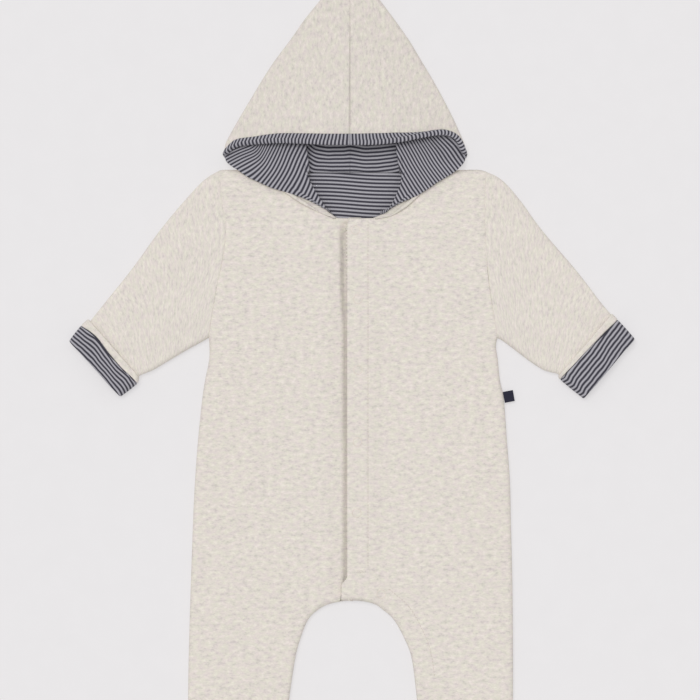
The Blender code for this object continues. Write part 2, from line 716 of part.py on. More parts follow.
def hood_binding(side, rows, normals):
    """Lining turned out over the forehead edge: one leg outside, the lip, one leg inside."""
    grid = []
    over = BINDING_GAP
    under = -WALL - BINDING_GAP
    for j in range(BINDING_COLUMNS):
        edge = Vector(rows[0][j])
        deep = Vector(rows[1][j])
        n_edge = normals[0][j]
        n_deep = normals[1][j]
        out = (edge - deep).normalized()
        half_way = edge.lerp(deep, 0.55)
        n_half = n_edge.lerp(n_deep, 0.55).normalized()
        lip_in = edge + out * BINDING_LIP
        lip_out = edge + out * (BINDING_LIP + LINING)
        line = [
            (deep + n_deep * (over + LINING), deep + n_deep * over),
            (half_way + n_half * (over + LINING), half_way + n_half * over),
            (edge + n_edge * (over + LINING), edge + n_edge * over),
            (lip_out + n_edge * (over + 0.2), lip_in + n_edge * (over - 0.2)),
            (lip_out + n_edge * (under - 0.2), lip_in + n_edge * (under + 0.2)),
            (edge + n_edge * (under - LINING), edge + n_edge * under),
            (half_way + n_half * (under - LINING), half_way + n_half * under),
        ]
        grid.append([(tuple(a), tuple(b)) for a, b in line])
    cloth("hood_binding_" + side, [grid], STRIPE_COLOUR)


def neck_lining():
    """Striped facing on the inside of the back neck."""
    bottom = WALL + GAP
    grid = []
    for y, left, right in ((BACK_NECK_Y - 0.3, -36.5, 42.5), (180.0, -41.5, 50.0),
                           (165.0, -34.0, 46.0), (150.0, -24.0, 35.0), (140.0, -18.0, 26.0)):
        grid.append([((left + (right - left) * k / 6, y, bottom + LINING),
                      (left + (right - left) * k / 6, y, bottom)) for k in range(7)])
    cloth("neck_lining", [grid], STRIPE_COLOUR)


def snap(number, x, y):
    z = LAID + front_lift("right", x - SNAP_RADIUS) + GAP + SNAP_WIRE
    bpy.ops.mesh.primitive_torus_add(major_radius=SNAP_RADIUS * MM, minor_radius=SNAP_WIRE * MM,
                                     major_segments=16, minor_segments=6,
                                     location=(x * MM, y * MM, z * MM))
    ring = bpy.context.object
    ring.name = "snap_%d" % number
    ring.data.materials.append(material(ring.name, SNAP_COLOUR, 0.5))
    for holder in list(ring.users_collection):
        holder.objects.unlink(ring)
    garment.objects.link(ring)


def side_label():
    shape = bmesh.new()
    bmesh.ops.create_cube(shape, size=1.0)
    corner = {(-1, 1): LABEL[0], (1, 1): LABEL[1], (1, -1): LABEL[2], (-1, -1): LABEL[3]}
    for vert in shape.verts:
        x, y = corner[(1 if vert.co.x > 0 else -1, 1 if vert.co.y > 0 else -1)]
        z = FOLD + LABEL_THICKNESS * vert.co.z
        vert.co = (x * MM, y * MM, z * MM)
    mesh = bpy.data.meshes.new("side_label")
    shape.to_mesh(mesh)
    shape.free()
    add_object("side_label", mesh, NAVY)


back()
for name in ("left", "right"):
    front(name)
    sleeve(name)
    cuff(name)
    hood(name)
neck_lining()
for i, (snap_x, snap_y) in enumerate(SNAPS):
    snap(i + 1, snap_x, snap_y)
side_label()
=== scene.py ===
import json
import math

import bmesh
import bpy
import numpy as np
from mathutils import Matrix, Vector

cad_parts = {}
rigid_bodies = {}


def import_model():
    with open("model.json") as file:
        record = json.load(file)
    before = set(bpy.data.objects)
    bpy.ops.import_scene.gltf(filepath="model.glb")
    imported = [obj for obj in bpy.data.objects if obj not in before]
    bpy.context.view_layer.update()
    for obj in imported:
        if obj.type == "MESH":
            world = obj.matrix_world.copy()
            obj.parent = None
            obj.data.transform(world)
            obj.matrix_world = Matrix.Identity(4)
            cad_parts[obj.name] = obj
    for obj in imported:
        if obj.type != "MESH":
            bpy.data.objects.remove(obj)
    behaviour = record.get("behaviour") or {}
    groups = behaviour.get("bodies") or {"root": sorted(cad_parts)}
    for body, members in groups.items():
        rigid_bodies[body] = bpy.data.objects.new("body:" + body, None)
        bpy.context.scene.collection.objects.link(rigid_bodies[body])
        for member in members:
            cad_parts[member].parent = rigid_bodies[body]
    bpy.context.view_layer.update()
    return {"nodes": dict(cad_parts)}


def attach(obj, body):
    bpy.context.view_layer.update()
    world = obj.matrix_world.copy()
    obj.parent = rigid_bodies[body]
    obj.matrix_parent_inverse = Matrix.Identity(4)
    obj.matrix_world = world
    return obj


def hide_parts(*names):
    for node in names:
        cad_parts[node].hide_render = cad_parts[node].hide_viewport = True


for leftover in list(bpy.data.objects):
    bpy.data.objects.remove(leftover, do_unlink=True)
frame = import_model()
print("frame loaded:", len(frame["nodes"]), "nodes")

mm = 0.001
sides = ("left", "right")
cloth = {
    "wall": 3.0,  # how thick the padded shell lies
    "shell": 0.9,  # its outer knit, the sheet that is made here
    "lining": 0.7,
    "laid": 9.5,  # front and back laid on each other
    "fold": 4.75,  # radius of the side folds
    "edge": 1.5,  # radius of turned edges
    "facing": 12.0,  # how far a turned edge goes back inside
    "grid": 2.3,  # spacing of the mesh
}

# outlines of the garment as it lies
outline = {
    "sleeveTop": {
        "left": ((-129.7, 196.9), (-144.3, 187.7), (-162.8, 168.2), (-187.2, 138.9), (-215.5, 99.9),
                 (-238.9, 70.7), (-250.0, 56.8), (-255.6, 49.8), (-262.3, 42.9), (-271.5, 31.1)),
        "right": ((130.7, 196.0), (146.2, 187.7), (163.8, 168.2), (185.2, 138.9), (218.4, 99.9),
                  (240.8, 70.7), (249.5, 60.2), (253.0, 56.0), (259.3, 47.3), (271.3, 32.8)),
    },
    "sleeveUnder": {
        "left": ((-139.9, 34.1), (-143.3, 31.7), (-160.9, 21.9), (-177.4, 12.2), (-192.1, 3.4),
                 (-200.0, -0.2), (-206.9, -3.1), (-215.8, -10.4), (-225.8, -19.2)),
        "right": ((141.9, 33.6), (147.2, 30.7), (158.9, 21.9), (171.6, 12.2), (185.2, 3.2),
                  (193.0, 0.4), (201.3, -1.9), (212.4, -10.4), (225.4, -21.0)),
    },
    "armhole": {
        "left": ((-129.7, 196.9), (-126.3, 166.7), (-123.0, 142.8), (-124.8, 116.5), (-132.6, 77.5),
                 (-139.9, 34.1)),
        "right": ((130.7, 196.0), (129.7, 175.0), (129.7, 142.8), (131.1, 110.2), (134.5, 77.5),
                  (141.9, 33.6)),
    },
    "side": {
        "left": ((-139.9, 34.1), (-139.1, 25.8), (-139.4, 12.2), (-143.3, -7.3), (-146.2, -26.8),
                 (-150.2, -65.8), (-153.1, -104.8), (-155.0, -143.8), (-157.2, -205.0)),
        "right": ((141.9, 33.6), (140.4, 25.8), (142.3, 12.2), (144.3, -7.3), (148.2, -26.8),
                  (151.1, -65.8), (154.0, -104.8), (155.0, -143.8), (156.5, -205.0)),
    },
    "legOut": {
        "left": ((-157.2, -205.0), (-158.9, -260.8), (-159.9, -319.3), (-158.4, -358.3),
                 (-156.0, -392.4)),
        "right": ((156.5, -205.0), (157.0, -260.8), (157.0, -319.3), (156.0, -358.3), (154.0, -392.4)),
    },
    "legIn": {
        "left": ((0.0, -222.3), (-12.7, -223.8), (-24.4, -226.7), (-33.1, -231.6), (-42.9, -241.3),
                 (-50.7, -260.8), (-55.6, -280.3), (-61.4, -319.3), (-65.8, -358.3), (-69.2, -392.4)),
        "right": ((0.0, -222.3), (13.7, -223.8), (23.4, -226.7), (30.2, -231.6), (40.9, -241.3),
                  (51.7, -260.8), (58.5, -280.3), (63.4, -319.3), (67.3, -358.3), (70.2, -392.4)),
    },
    "shoulder": {
        "left": ((-129.7, 196.9), (-123.8, 197.7), (-104.3, 197.4), (-75.0, 196.6), (-58.0, 194.4),
                 (-46.0, 194.0)),
        "right": ((130.7, 196.0), (122.8, 197.7), (103.3, 197.4), (80.0, 196.6), (63.0, 194.4),
                  (51.9, 194.0)),
    },
    "neck": {
        "left": ((-14.6, 151.1), (-24.6, 159.4), (-34.9, 175.8), (-43.9, 190.8), (-45.3, 194.7)),
        "right": ((20.5, 150.9), (36.6, 158.2), (43.7, 173.5), (50.9, 191.6), (51.2, 194.7)),
    },
    "frontEdge": {
        "left": ((13.7, 149.9), (13.7, 100.0), (13.7, 0.0), (13.7, -190.0), (2.0, -210.0),
                 (-10.6, -216.4), (-11.2, -221.6)),
        "right": ((-2.9, 150.2), (-4.3, 144.8), (-4.9, 140.9), (-4.9, -200.4), (-10.2, -206.2),
                  (-10.7, -221.9)),
    },
}


def ease(value):
    t = np.clip(value, 0.0, 1.0)
    return t * t * (3.0 - 2.0 * t)


def smoothCurve(points, steps=8):  # through the points, with round bends
    p = np.array(points, float)
    chain = np.vstack([p[:1], p, p[-1:]])
    t = (np.arange(steps) / steps)[:, None]
    parts = []
    for a, b, c, d in zip(chain, chain[1:], chain[2:], chain[3:]):
        parts.append(0.5 * (2 * b + (c - a) * t + (2 * a - 5 * b + 4 * c - d) * t ** 2
                            + (3 * b - a - 3 * c + d) * t ** 3))
    return np.vstack(parts + [p[-1:]])


def curveLength(curve):
    return float(np.linalg.norm(np.diff(curve, axis=0), axis=1).sum())


def lengthAlong(points):  # how far each point lies from the first, along the first axis
    steps = np.linalg.norm(np.diff(points, axis=0), axis=-1)
    return np.concatenate([np.zeros((1,) + steps.shape[1:]), np.cumsum(steps, axis=0)])


def along(curve, shares):  # points at shares of a curve's length
    far = lengthAlong(curve)
    where = np.clip(shares, 0.0, 1.0) * far[-1]
    return np.stack([np.interp(where, far, curve[:, k]) for k in range(curve.shape[1])], axis=-1)


def unit(vectors, least=1e-6):  # the same directions, one long
    return vectors / np.maximum(np.linalg.norm(vectors, axis=-1, keepdims=True), least)


def distanceTo(curve, plan):  # from each point of a plan to the nearest point of a curve
    return np.min(np.linalg.norm(plan[:, None, :] - curve[None], axis=2), axis=1)


def roundSteps(radius):  # how far in the points of a quarter turn lie
    return [radius * (1.0 - math.cos(math.radians(a))) for a in quarterTurn]


def atY(curve, y):  # point of a rising curve at one height
    return np.array([np.interp(y, curve[:, 1], curve[:, 0]), y])


def merged(places, nearest):  # sorted places, with those that nearly meet made one
    kept = []
    for place in sorted(places):
        if not kept or place - kept[-1] > nearest:
            kept.append(place)
    return kept


quarterTurn = (0, 14, 28, 42, 56, 72, 90)  # degrees, from a folded edge up to the flat
halfTurn = (30, 60, 90, 120, 150, 180)  # round a turned edge
line = {name: {side: smoothCurve(points) for side, points in both.items()}
        for name, both in outline.items()}
foldedEdges = [
    np.vstack([line["sleeveTop"]["left"][::-1], line["shoulder"]["left"]]),
    np.vstack([line["shoulder"]["right"][::-1], line["sleeveTop"]["right"]]),
    np.vstack([line["sleeveUnder"]["right"][::-1], line["side"]["right"], line["legOut"]["right"]]),
    np.vstack([line["legIn"]["right"][::-1], line["legIn"]["left"]]),
    np.vstack([line["legOut"]["left"][::-1], line["side"]["left"][::-1], line["sleeveUnder"]["left"]]),
]
foldStarts = np.concatenate([edge[:-1] for edge in foldedEdges])
foldRuns = np.concatenate([np.diff(edge, axis=0) for edge in foldedEdges])
hasLength = np.hypot(foldRuns[:, 0], foldRuns[:, 1]) > 1e-6
foldStarts = foldStarts[hasLength]
foldRuns = foldRuns[hasLength]
foldSizes = (foldRuns ** 2).sum(axis=1)
onEdge = 0.01  # closer than this a point counts as on the edge
atOnce = 2500  # points that are measured in one go


def nearestFold(plan):  # distance to the nearest folded edge and the direction out over it
    distances = []
    directions = []
    for part in np.array_split(plan, max(1, len(plan) // atOnce)):
        fromStart = part[:, None] - foldStarts
        t = np.clip((fromStart * foldRuns).sum(axis=2) / foldSizes, 0.0, 1.0)
        away = t[:, :, None] * foldRuns - fromStart
        gaps = np.hypot(away[:, :, 0], away[:, :, 1])
        nearest = gaps.argmin(axis=1)
        rows = np.arange(len(part))
        d = gaps[rows, nearest]
        run = foldRuns[nearest]
        straight = np.stack([-run[:, 1], run[:, 0]], axis=1) / np.sqrt(foldSizes[nearest])[:, None]
        aim = away[rows, nearest] / np.maximum(d, 1e-6)[:, None]
        directions.append(np.where((d > onEdge)[:, None], aim, straight))
        distances.append(np.where(d > onEdge, d, 0.0))
    return np.concatenate(distances), np.concatenate(directions)


def pressed(plan, marks):  # soft troughs and ridges along short lines: x, y, x, y, width, height
    total = np.zeros(len(plan))
    for x0, y0, x1, y1, width, height in marks:
        start = np.array((x0, y0))
        run = np.array((x1, y1)) - start
        t = ((plan - start) @ run) / (run @ run)
        near = start + np.clip(t, 0.0, 1.0)[:, None] * run
        d = np.linalg.norm(plan - near, axis=1)
        swell = np.sin(math.pi * np.clip(t * 0.9 + 0.05, 0.0, 1.0)) ** 0.6
        total += height * swell * np.exp(-(d / width) ** 2)
    return total


def softWaves(plan, size, height, turn=0.0):  # uneven, slow rise and fall of padded cloth
    x = plan[:, 0] / size
    y = plan[:, 1] / size
    waves = (np.sin(2.1 * x + 1.3 * y + turn) + np.sin(1.2 * x - 2.6 * y + 2.0 + turn)
             + 0.7 * np.sin(3.9 * x + 0.8 * y + 4.0 - turn) + 0.6 * np.sin(0.7 * x + 4.3 * y + 1.0)
             + 0.5 * np.sin(5.2 * x - 3.4 * y + 3.0 * turn))
    return height * waves / 2.4


def foldHeight(plan, middle, half, upper, depth=0.0):
    # points of a wall that rounds down at the folded edges, and of layers that lie deeper in it
    d, out = nearestFold(plan)
    lean = np.maximum(0.0, 1.0 - d / half)
    rise = np.sqrt(1.0 - lean ** 2)
    sign = 1.0 if upper else -1.0
    x = plan[:, 0] - out[:, 0] * lean * depth
    y = plan[:, 1] - out[:, 1] * lean * depth
    z = middle + sign * (half - depth) * rise
    unrolled = plan + out * (half * (np.arcsin(lean) - lean))[:, None]
    return np.stack([x, y, z], axis=1), d, rise, unrolled


def addPiece(name, shape, finish):  # an object in the scene from a bmesh
    mesh = bpy.data.meshes.new(name)
    shape.to_mesh(mesh)
    shape.free()
    mesh.shade_smooth()
    mesh.materials.append(finish)
    piece = bpy.data.objects.new(name, mesh)
    bpy.context.scene.collection.objects.link(piece)
    return piece


def mounted(piece, node=None):
    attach(piece, "root")
    if node:
        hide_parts(node)
    return piece


def clothPiece(name, node, points, uv, finish, thick, inside=False, without=None):
    # a grid of cloth from rows of points, given its thickness away from the seen side
    rows, columns = points.shape[:2]
    shape = bmesh.new()
    bmesh.ops.create_grid(shape, x_segments=columns - 1, y_segments=rows - 1, size=1.0)
    shape.verts.ensure_lookup_table()
    flat = points.reshape(-1, 3) * mm
    for vert, place in zip(shape.verts, flat):
        vert.co = place
    places = uv.reshape(-1, 2)
    layer = shape.loops.layers.uv.new("cloth")
    for face in shape.faces:
        for corner in face.loops:
            corner[layer].uv = places[corner.vert.index]
    if without is not None:  # one column of faces is left out
        shape.faces.ensure_lookup_table()
        gone = [face for face in shape.faces if face.index % (columns - 1) == without]
        bmesh.ops.delete(shape, geom=gone, context="FACES")
    bmesh.ops.remove_doubles(shape, verts=shape.verts[:], dist=1e-6)
    bmesh.ops.dissolve_degenerate(shape, edges=shape.edges[:], dist=1e-7)
    middle = Vector(flat.mean(axis=0))
    middle.z = cloth["fold"] * mm
    facing = sum(f.calc_area() * f.normal.dot(f.calc_center_median() - middle) for f in shape.faces)
    if (facing < 0.0) != inside:
        bmesh.ops.reverse_faces(shape, faces=shape.faces[:])
    piece = addPiece(name, shape, finish)
    if thick:
        wall = piece.modifiers.new("thickness", "SOLIDIFY")
        wall.thickness = thick * mm
        wall.offset = -1.0
    return mounted(piece, node)


# finishes: cloth coordinates are in centimetres, the first one along the streaks of the marl
cm = 10.0


def newMaterial(name, colour, roughness, sheen):
    made = bpy.data.materials.new(name)
    made.use_nodes = True
    shader = made.node_tree.nodes["Principled BSDF"]
    shader.inputs["Base Color"].default_value = (*colour, 1.0)
    shader.inputs["Roughness"].default_value = roughness
    shader.inputs["Sheen Weight"].default_value = sheen
    shader.inputs["Sheen Roughness"].default_value = 0.5
    shader.inputs["Specular IOR Level"].default_value = 0.2
    return made, made.node_tree, shader


def placeOf(tree, kind):  # "UV" or "Object" coordinates
    return tree.nodes.new("ShaderNodeTexCoord").outputs[kind]


def noiseAt(tree, source, scale, detail, stretch=(1.0, 1.0, 1.0), shift=(0.0, 0.0, 0.0)):
    place = tree.nodes.new("ShaderNodeMapping")
    place.inputs["Scale"].default_value = stretch
    place.inputs["Location"].default_value = shift
    tree.links.new(source, place.inputs["Vector"])
    made = tree.nodes.new("ShaderNodeTexNoise")
    made.inputs["Scale"].default_value = scale
    made.inputs["Detail"].default_value = detail
    made.inputs["Roughness"].default_value = 0.6
    tree.links.new(place.outputs["Vector"], made.inputs["Vector"])
    return made.outputs["Fac"]


def ramp(tree, source, stops):
    made = tree.nodes.new("ShaderNodeValToRGB")
    made.color_ramp.elements[0].position = stops[0][0]
    made.color_ramp.elements[0].color = (*stops[0][1], 1.0)
    made.color_ramp.elements[1].position = stops[-1][0]
    made.color_ramp.elements[1].color = (*stops[-1][1], 1.0)
    for place, colour in stops[1:-1]:
        made.color_ramp.elements.new(place).color = (*colour, 1.0)
    tree.links.new(source, made.inputs["Fac"])
    return made.outputs["Color"]


def sums(tree, kind, first, second=0.0):
    made = tree.nodes.new("ShaderNodeMath")
    made.operation = kind
    for number, value in enumerate((first, second)):
        if isinstance(value, (int, float)):
            made.inputs[number].default_value = value
        else:
            tree.links.new(value, made.inputs[number])
    return made.outputs["Value"]


def addBump(tree, shader, height, strength, distance):
    bump = tree.nodes.new("ShaderNodeBump")
    bump.inputs["Strength"].default_value = strength
    bump.inputs["Distance"].default_value = distance
    tree.links.new(height, bump.inputs["Height"])
    tree.links.new(bump.outputs["Normal"], shader.inputs["Normal"])


def shaded(colour, share):
    return tuple(min(1.0, c * share) for c in colour)


def addGrain(tree, shader, colour, scale, detail, darker, lighter):  # faint grain over one colour
    fine = noiseAt(tree, placeOf(tree, "Object"), scale, detail)
    tint = ramp(tree, fine, ((0.3, shaded(colour, darker)), (0.7, shaded(colour, lighter))))
    tree.links.new(tint, shader.inputs["Base Color"])
    return fine


marl = {
    "ground": (0.76, 0.715, 0.665),
    "pale": (0.87, 0.82, 0.755),
    "fleck": (0.64, 0.605, 0.565),
    "warm": (0.795, 0.75, 0.68),
    "rose": (1.0, 0.965, 0.99),  # faint tints of the yarn
    "straw": (0.985, 1.0, 0.955),
    "roughness": 0.95,
    "sheen": 0.12,
    "fuzz": 0.28,  # strength of the brushed surface
    # noises of the knit: scale, detail, stretch and shift
    "streak": (2.1, 2.0, (0.8, 1.4, 1.0)),
    "speck": (6.0, 2.0, (0.7, 1.6, 1.0), (3.0, 7.0, 0.0)),
    "cloud": (0.5, 2.0),
    "hue": (1.6, 2.0, (0.8, 1.2, 1.0), (9.0, 2.0, 0.0)),
    "nap": (14.0, 4.0, (0.8, 1.4, 1.0)),
    "loops": (4.0, 2.0, (0.7, 1.6, 1.0)),
    "streakShare": 0.66,
    "speckShare": 0.34,
    "cloudShare": 0.12,
}


def shellKnit(name, shade):
    made, tree, shader = newMaterial(name, marl["ground"], marl["roughness"], marl["sheen"])
    place = placeOf(tree, "UV")
    streak, speck, cloud, hue, nap, loops = (
        noiseAt(tree, place, *marl[key]) for key in ("streak", "speck", "cloud", "hue", "nap", "loops"))
    mixed = sums(tree, "ADD", sums(tree, "MULTIPLY", streak, marl["streakShare"]),
                 sums(tree, "MULTIPLY", speck, marl["speckShare"]))
    mixed = sums(tree, "ADD", mixed,
                 sums(tree, "MULTIPLY", sums(tree, "SUBTRACT", cloud, 0.5), marl["cloudShare"]))
    colour = ramp(tree, mixed, ((0.34, marl["fleck"]), (0.46, marl["ground"]),
                                (0.54, marl["warm"]), (0.64, marl["pale"])))
    # a shade below 1 darkens the yarn tints: painted shade, used for the hood's darker copy of the knit
    dyed = ramp(tree, hue, ((0.38, shaded(marl["rose"], shade)), (0.62, shaded(marl["straw"], shade))))
    tinted = tree.nodes.new("ShaderNodeMix")
    tinted.data_type = "RGBA"
    tinted.blend_type = "MULTIPLY"
    tinted.inputs["Factor"].default_value = 1.0
    tree.links.new(colour, tinted.inputs["A"])
    tree.links.new(dyed, tinted.inputs["B"])
    tree.links.new(tinted.outputs["Result"], shader.inputs["Base Color"])
    addBump(tree, shader, sums(tree, "ADD", nap, loops), marl["fuzz"], 0.0008)
    return made


stripes = {
    "navy": (0.043, 0.041, 0.057),
    "white": (0.475, 0.465, 0.505),
    "share": 0.45,  # of the white in one repeat
    "soft": 0.24,  # width of the blurred border
    "ragged": 0.10,  # how far the border strays, in repeats
    "knit": 31.0,  # how closely loops and courses follow each other
    "roughness": 0.9,
    "pitch": 3.72,  # one repeat in the hood
    "bindingPitch": 3.6,
}


def stripedKnit():
    # the second cloth coordinate counts repeats, the first runs along the stripes
    made, tree, shader = newMaterial("stripedKnit", stripes["navy"], stripes["roughness"], 0.1)
    place = placeOf(tree, "UV")
    split = tree.nodes.new("ShaderNodeSeparateXYZ")
    tree.links.new(place, split.inputs["Vector"])
    stray = sums(tree, "SUBTRACT", noiseAt(tree, place, 6.0, 2.0), 0.5)
    count = sums(tree, "ADD", split.outputs["Y"], sums(tree, "MULTIPLY", stray, stripes["ragged"]))
    centred = sums(tree, "ABSOLUTE", sums(tree, "SUBTRACT", sums(tree, "FRACT", count), 0.5))
    half = stripes["share"] / 2
    colour = ramp(tree, centred, ((half - stripes["soft"] / 2, stripes["white"]),
                                  (half + stripes["soft"] / 2, stripes["navy"])))
    tree.links.new(colour, shader.inputs["Base Color"])
    loops, courses = (sums(tree, "SINE", sums(tree, "MULTIPLY", split.outputs[axis], stripes["knit"]))
                      for axis in ("X", "Y"))
    knit = sums(tree, "ADD", sums(tree, "MULTIPLY", loops, 0.5), sums(tree, "MULTIPLY", courses, 0.35))
    addBump(tree, shader, sums(tree, "ADD", knit, noiseAt(tree, place, 9.0, 3.0)), 0.35, 0.0005)
    return made


def plainFinish(name, colour, roughness, grain):
    made, tree, shader = newMaterial(name, colour, roughness, 0.05)
    addBump(tree, shader, addGrain(tree, shader, colour, grain, 3.0, 0.85, 1.12), 0.2, 0.0003)
    return made


marlKnit = shellKnit("marlKnit", 1.0)
hoodKnitPaintedShade = shellKnit("marlKnitHoodPaintedShade", 0.955)  # the same knit with painted shade: a little darker, standing in for the shade that falls on the hood
stripedLining = stripedKnit()
threadFinish = plainFinish("thread", (0.66, 0.60, 0.53), 0.8, 900.0)
paleThread = plainFinish("paleThread", (0.83, 0.78, 0.72), 0.8, 900.0)
snapFinish = plainFinish("snapRing", (0.78, 0.70, 0.63), 0.6, 300.0)
tabFinish = plainFinish("navyTape", (0.022, 0.022, 0.04), 0.75, 1500.0)

# the hood, with its outlines
hood = {
    "x": -1.95,  # centre seam
    "tip": 392.4,
    "cornerY": 213.0,
    "fold": 4.25,
    "mouthRise": 15.0,
    "tipFlat": 10.0,
    "creaseAt": 0.42,
    "overBody": 9.9,
    "neckDepth": 5.0,
    "rampStart": 200.0,
    "rampEnd": 216.0,
    "ridge": 40.0,
    "neckY": 194.7,
    "overhang": 2.6,  # of the flaps over the back wall
    "undercut": 3.2,
    "bow": {"left": 8.0, "right": 12.8},  # bend of the inner crease beside the neck
    "bare": {"left": 7.2, "right": 7.8},  # how far the shell shows inside the flap, near the front
    "waves": (26.0, 0.6),
    "layer": 4.0,  # how deep the lining lies inside the shell
    "layerShift": 0.019,  # it goes down that much nearer to the middle
    "flare": 0.8,  # it comes out that far again at the face edge
    "flareTo": 0.08,
    "neckClear": 2.2,  # how far the crease keeps off the neck line
    "neckClearFrom": 0.06,
    "wallStart": 3.0,  # where the back wall begins, inside the neck line
    "browTo": 0.25,  # share of the hood that follows the forehead's edge, above
    "faceTo": 0.3,  # and the face edge, below
    "roll": 2.2,  # width of the rolled edge along the neck
    "cornerFlat": 12.0,  # the face edge isn't turned so near its corners
    "cornerFade": 25.0,
    "room": 14.0,  # how far the turned edge moves the cloth beside it
}
hoodSide = {
    "left": ((-124.8, 213.0), (-124.2, 219.0), (-121.9, 226.7), (-111.1, 246.2), (-99.5, 265.7),
             (-87.8, 285.2), (-75.1, 304.7), (-60.4, 324.2), (-46.8, 343.7), (-31.2, 363.2),
             (-23.4, 372.9), (-13.7, 382.7), (-8.5, 388.2), (-4.8, 391.6), (-2.1, 392.4)),
    "right": ((111.1, 213.0), (110.6, 219.0), (108.2, 226.7), (99.5, 246.2), (89.7, 265.7),
              (79.0, 285.2), (67.3, 304.7), (55.6, 324.2), (41.9, 343.7), (27.3, 363.2),
              (19.5, 372.9), (10.2, 382.7), (4.6, 388.2), (0.9, 391.6), (-1.8, 392.4)),
}
forehead = {
    "left": ((-2.1, 225.2), (-26.3, 225.4), (-50.7, 226.6), (-75.1, 227.0), (-93.6, 225.6),
             (-105.0, 224.2), (-113.0, 222.2), (-119.0, 218.6), (-124.8, 213.0)),
    "right": ((-1.8, 225.2), (22.4, 225.4), (46.8, 228.0), (66.3, 232.0), (80.9, 234.8),
              (91.5, 235.2), (100.4, 232.0), (105.8, 226.4), (111.1, 213.0)),
}
faceEdge = {
    "left": ((-124.8, 213.0), (-122.5, 207.2), (-117.0, 201.3), (-110.2, 196.9), (-101.9, 191.1),
             (-91.6, 186.2), (-78.0, 179.9), (-64.8, 173.3), (-47.8, 163.6), (-36.6, 158.2),
             (-25.3, 152.9), (-14.6, 150.2)),
    "right": ((111.1, 213.0), (110.2, 208.2), (106.3, 201.8), (101.4, 196.9), (94.1, 192.1),
              (81.9, 184.8), (71.7, 177.0), (65.3, 170.6), (51.3, 159.9), (39.0, 152.8),
              (31.0, 150.6), (20.5, 150.0)),
}
line["face"] = {side: smoothCurve(points) for side, points in faceEdge.items()}

# body panels
front = {
    "placketLift": 2.1,  # right front over the left
    "underlapDrop": 1.6,
    "placketX": 16.0,
    "placketFade": 17.0,
    "underlapX": -26.0,
    "underlapFade": 15.0,
    "gapX": (-12.2, -9.3),  # where the cloth goes down under the placket, at the neck and lower
    "gapWidth": (4.4, 3.0),
    "gapDeep": (5.6, 3.8),
    "seamDip": 0.55,  # how far the cloth goes down at the armhole seam
    "puff": 0.8,
    "stitchX": 15.6,
    "archStitch": 19.5,  # from the inner leg
    "chestY": 30.0,
    "gapLower": 30.0,  # below this the gap has its lower size
    "gapUpper": 90.0,  # above this it has its size at the neck
    "gapTop": 150.5,
    "gapFade": 9.0,
    "waves": (34.0, 0.45),  # how long and how high
    "stitchDip": 0.45,
    "archDip": 0.4,
    "snapDents": ((0.35, 4.3, 1.5), (0.25, 0.0, 11.0)),  # deep, distance from the middle, width
}
snapPlaces = ((3.4, 138.9), (5.8, 71.2), (5.8, 2.4), (5.3, -67.8), (4.6, -137.0), (28.5, -216.0))
frontCreases = {
    "left": ((-118, 60, -86, 84, 9, 0.5), (-127, 40, -96, 44, 7, -0.5), (-124, 95, -108, 150, 8, -0.4),
             (-30, -190, -62, -160, 9, -0.5), (-20, -205, -70, -196, 7, 0.5),
             (-135, -100, -95, -116, 12, 0.5),
             (-64, 120, -52, 20, 14, 0.5), (-110, -250, -80, -320, 13, -0.6),
             (-140, -300, -120, -370, 10, 0.5),
             (-60, -240, -92, -225, 8, -0.4), (-30, 60, -26, -90, 8, 0.35)),
    "right": ((118, 66, 88, 92, 9, 0.5), (129, 44, 98, 52, 7, -0.6), (124, 100, 112, 150, 8, -0.4),
              (46, -196, 78, -170, 9, -0.5), (36, -214, 84, -204, 7, 0.4),
              (138, -90, 100, -112, 12, 0.5),
              (60, 110, 52, -10, 13, 0.5), (112, -250, 86, -330, 13, -0.6),
              (140, -290, 122, -365, 10, 0.5),
              (40, 40, 36, -60, 7, -0.3), (62, -238, 96, -228, 8, -0.35),
              (3.5, 144.8, 16.5, 144.6, 0.9, -0.35)),
}


def placketRise(x):  # the right front lies on the left one here
    return front["placketLift"] * (1.0 - ease((x - front["placketX"]) / front["placketFade"]))


def frontLift(side, plan):
    x = plan[:, 0]
    if side == "right":
        return placketRise(x)
    drop = -front["underlapDrop"] * ease((x - front["underlapX"]) / front["underlapFade"])
    high = ease((plan[:, 1] - front["gapLower"]) / (front["gapUpper"] - front["gapLower"]))
    begin, wide, deep = (front[key][1] + (front[key][0] - front[key][1]) * high
                         for key in ("gapX", "gapWidth", "gapDeep"))
    fade = ease((front["gapTop"] - plan[:, 1]) / front["gapFade"])
    return drop - deep * ease((x - begin) / wide) * fade


def spread(total, near, far, step):  # places across a width, close together at both ends
    inner = np.linspace(near[-1], total - far[-1],
                        max(2, int(round((total - near[-1] - far[-1]) / step)) + 1))
    return np.array(list(near[:-1]) + list(inner) + [total - f for f in far[-2::-1]])


foldSteps = tuple(roundSteps(cloth["fold"]))
placketSteps = (0, 0.5, 1.2, *range(2, 14), 14.2, 15.6, 17, 18.4, 19.3, 20, 20.7, 21.6, 23.5)
stretchSizes = {"armhole": 166.0, "side": 241.0, "leg": 188.0}  # the same rows on both sides


